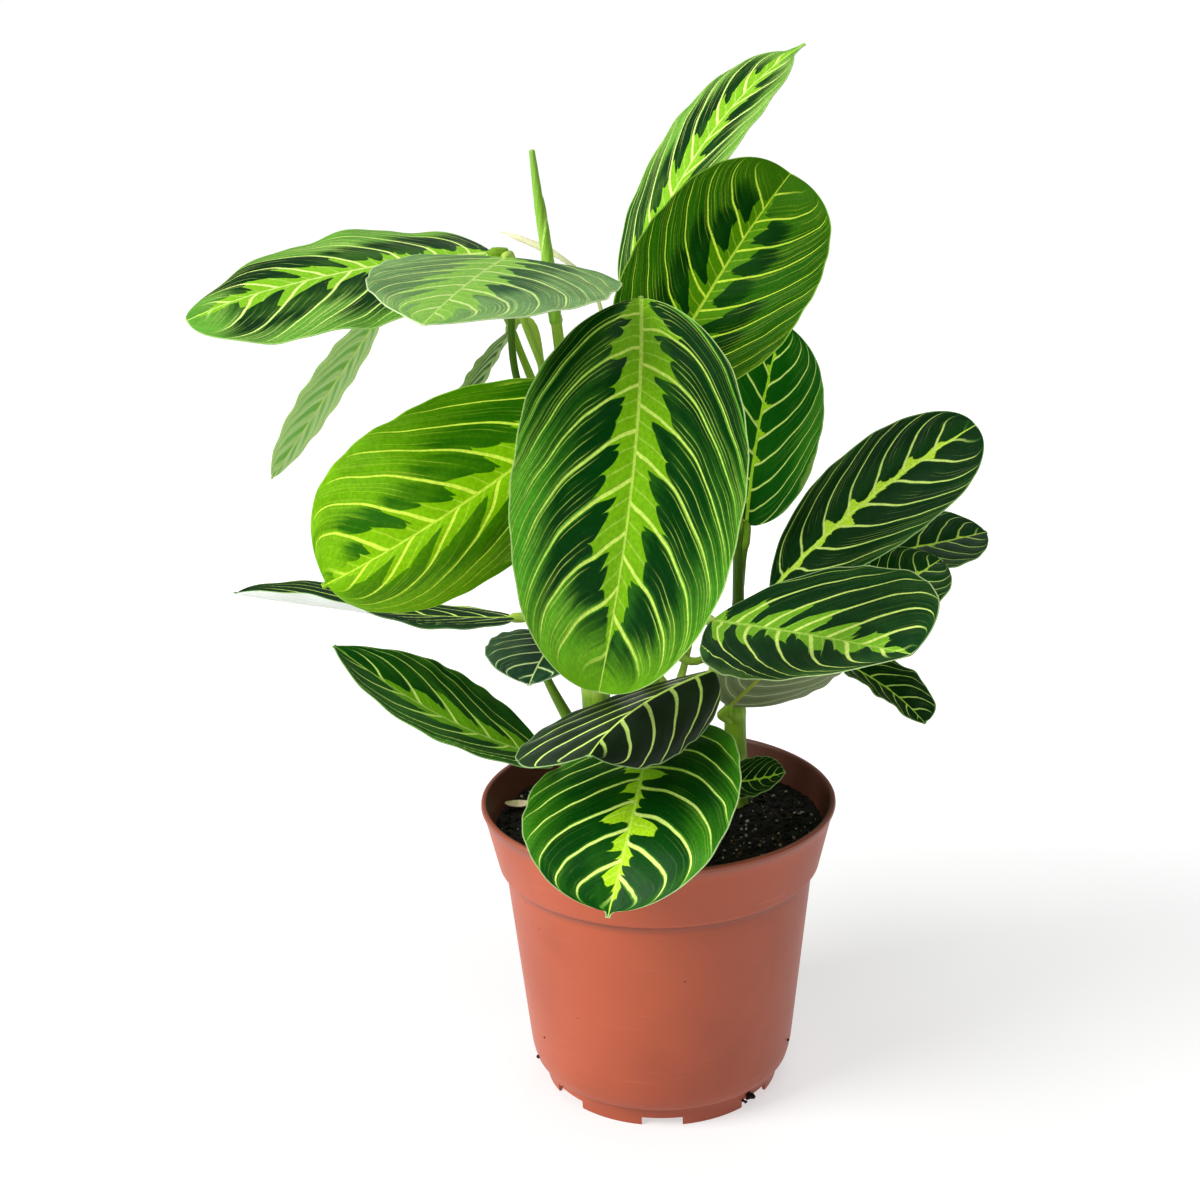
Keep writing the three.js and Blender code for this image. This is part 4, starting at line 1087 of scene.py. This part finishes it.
# Loose grains strewn evenly over the soil, and a few stray crumbs on the pot
def makeSoilGrains():
    chance = np.random.default_rng(soil["seed"])
    skins = [makeSoilMaterial(*plan["skin"]) for plan in grains.values()]
    for (name, plan), skin in zip(grains.items(), skins):
        radius = (soil["edge"] - plan["inset"]) * np.sqrt(chance.uniform(0, 1, plan["count"]))
        turn = chance.uniform(0, fullTurn, plan["count"])
        x = radius * np.cos(turn)
        y = radius * np.sin(turn)
        places = np.stack([x, y, soilHeight(x, y) + plan["lift"]], -1)
        sizes = chance.uniform(*plan["sizes"], plan["count"])
        makeGrains(name, places, sizes, skin, plan["stretch"], plan["seed"])
    makeGrains("soil_foot_crumbs", strayCrumbs["places"], strayCrumbs["sizes"], skins[0],
               strayCrumbs["stretch"], strayCrumbs["seed"])


makeSoil()
makeSoilGrains()
print("soil made")

scrap = {"rows": 24, "columns": 9, "length": 10, "width": 5.4, "thickness": 0.3, "turn": -8,
         "place": [-48, 14.6, 93.4], "sway": 0.4, "trough": 0.75, "arch": 0.35, "ripple": 0.12}


# The dry scrap of sheath: a curled strip, wide in its middle, that lies on the soil
def makeScrap():
    along = np.linspace(-1, 1, scrap["rows"])[:, None]
    across = np.linspace(-1, 1, scrap["columns"])[None, :]
    x = along * scrap["length"] / 2 + across * 0
    y = across * scrap["width"] / 2 * np.sqrt(np.clip(1 - along ** 2, 0.01, 1))
    y = y + scrap["sway"] * np.sin(3 * along)
    z = scrap["trough"] * across ** 2 + scrap["arch"] * along ** 2
    z = z + scrap["ripple"] * np.sin(5 * along + 3 * across)
    flat = np.stack([*spun(x, y, math.radians(scrap["turn"])), z], -1).reshape(-1, 3) + scrap["place"]
    half = [0, 0, scrap["thickness"] / 2]
    faces = [block[:, ::-1] for block in sheetFaces(scrap["rows"], scrap["columns"])]
    material, tree = newMaterial("dryHusk", 0.8, 0.3)
    grain = noise(objectPlace(tree), 420.0, 3.0, 0.6)
    finishMaterial(material, mix(grain, (190, 164, 118), (240, 228, 196)), grain, 0.6, 0.0006)
    makePiece("dry_husk", np.concatenate([flat + half, flat - half]), faces, [material], "dry_sheath",
              ["dry_sheath"])


makeScrap()
print("scrap made")

# Stage, in metres and watts: a wide pale floor, a soft key from the upper left, a high fill in front, a
# back light and a bright sky; the floor glows a little, more so far from the pot
stage = {"reach": 12, "floor": 0.4, "glow": (0.58, 0.95), "glowFrom": (0.05, 0.7), "sky": 0.16,
         "backdrop": 0.85}
lights = {
    "keyLight": {"spot": (-1.3, -0.65, 1.1), "size": 0.9, "power": 40, "target": (0, 0, 0.2)},
    "fillLight": {"spot": (0.1, -0.9, 2.1), "size": 1.0, "power": 13, "target": (0, 0, 0.15)},
    "backLight": {"spot": (0.3, 0.9, 1.4), "size": 0.9, "power": 5, "target": (0, 0, 0.22)},
}
# Camera, in millimetres, looking down and rolled by degrees; the focal length and the picture's width are
# in pixels of the photo, and it sees things between two distances in metres
camera = {"spot": (-18, -558, 345), "down": 17.2, "roll": 1.4, "focal": 1780, "picture": 1200, "sensor": 36,
          "near": 0.01, "far": 50}


def makeStage():
    mesh = bpy.data.meshes.new("floor")
    reach = stage["reach"]
    mesh.from_pydata([(-reach, -reach, 0), (reach, -reach, 0), (reach, reach, 0), (-reach, reach, 0)], [],
                     [(0, 1, 2, 3)])
    floor = bpy.data.objects.new("floor", mesh)
    bpy.context.scene.collection.objects.link(floor)
    material, tree = newMaterial("paleFloor", 0.8, 0.2)
    shader = tree.nodes["Principled BSDF"]
    shader.inputs["Base Color"].default_value = (stage["floor"], stage["floor"], stage["floor"], 1)
    shader.inputs["Emission Color"].default_value = (1, 1, 1, 1)
    x, y = split(objectPlace(tree))[:2]
    far = addMath("SQRT", x * x + y * y)
    feed(tree, shader.inputs["Emission Strength"], ease(far, *stage["glowFrom"], *stage["glow"]))
    mesh.materials.append(material)
    world = bpy.data.worlds.new("softSky")
    world.use_nodes = True
    sky = world.node_tree
    background = sky.nodes["Background"].inputs
    background["Color"].default_value = (1, 1, 1, 1)
    seen = Flow(sky, sky.nodes.new("ShaderNodeLightPath").outputs["Is Camera Ray"])
    feed(sky, background["Strength"], seen * stage["backdrop"] + stage["sky"])
    bpy.context.scene.world = world
    for name, plan in lights.items():
        data = bpy.data.lights.new(name, "AREA")
        data.size = plan["size"]
        data.energy = plan["power"]
        light = bpy.data.objects.new(name, data)
        light.location = plan["spot"]
        light.rotation_euler = (Vector(plan["target"]) - light.location).to_track_quat("-Z", "Y").to_euler()
        bpy.context.scene.collection.objects.link(light)


def makeCamera():
    data = bpy.data.cameras.new("camera")
    data.sensor_width = camera["sensor"]
    data.lens = camera["sensor"] * camera["focal"] / camera["picture"]
    data.clip_start = camera["near"]
    data.clip_end = camera["far"]
    eye = bpy.data.objects.new("camera", data)
    down = math.radians(camera["down"])
    roll = math.radians(camera["roll"])
    forward = Vector((0, math.cos(down), -math.sin(down)))
    right = Vector((1, 0, 0))
    up = right.cross(forward)
    turnedRight = right * math.cos(roll) - up * math.sin(roll)
    turnedUp = right * math.sin(roll) + up * math.cos(roll)
    turned = Matrix((turnedRight, turnedUp, -forward)).transposed()
    eye.matrix_world = Matrix.Translation(Vector(np.array(camera["spot"]) * mm + potAxis)) @ turned.to_4x4()
    bpy.context.scene.collection.objects.link(eye)
    bpy.context.scene.camera = eye


makeStage()
makeCamera()
bpy.context.scene.view_settings.view_transform = "Standard"
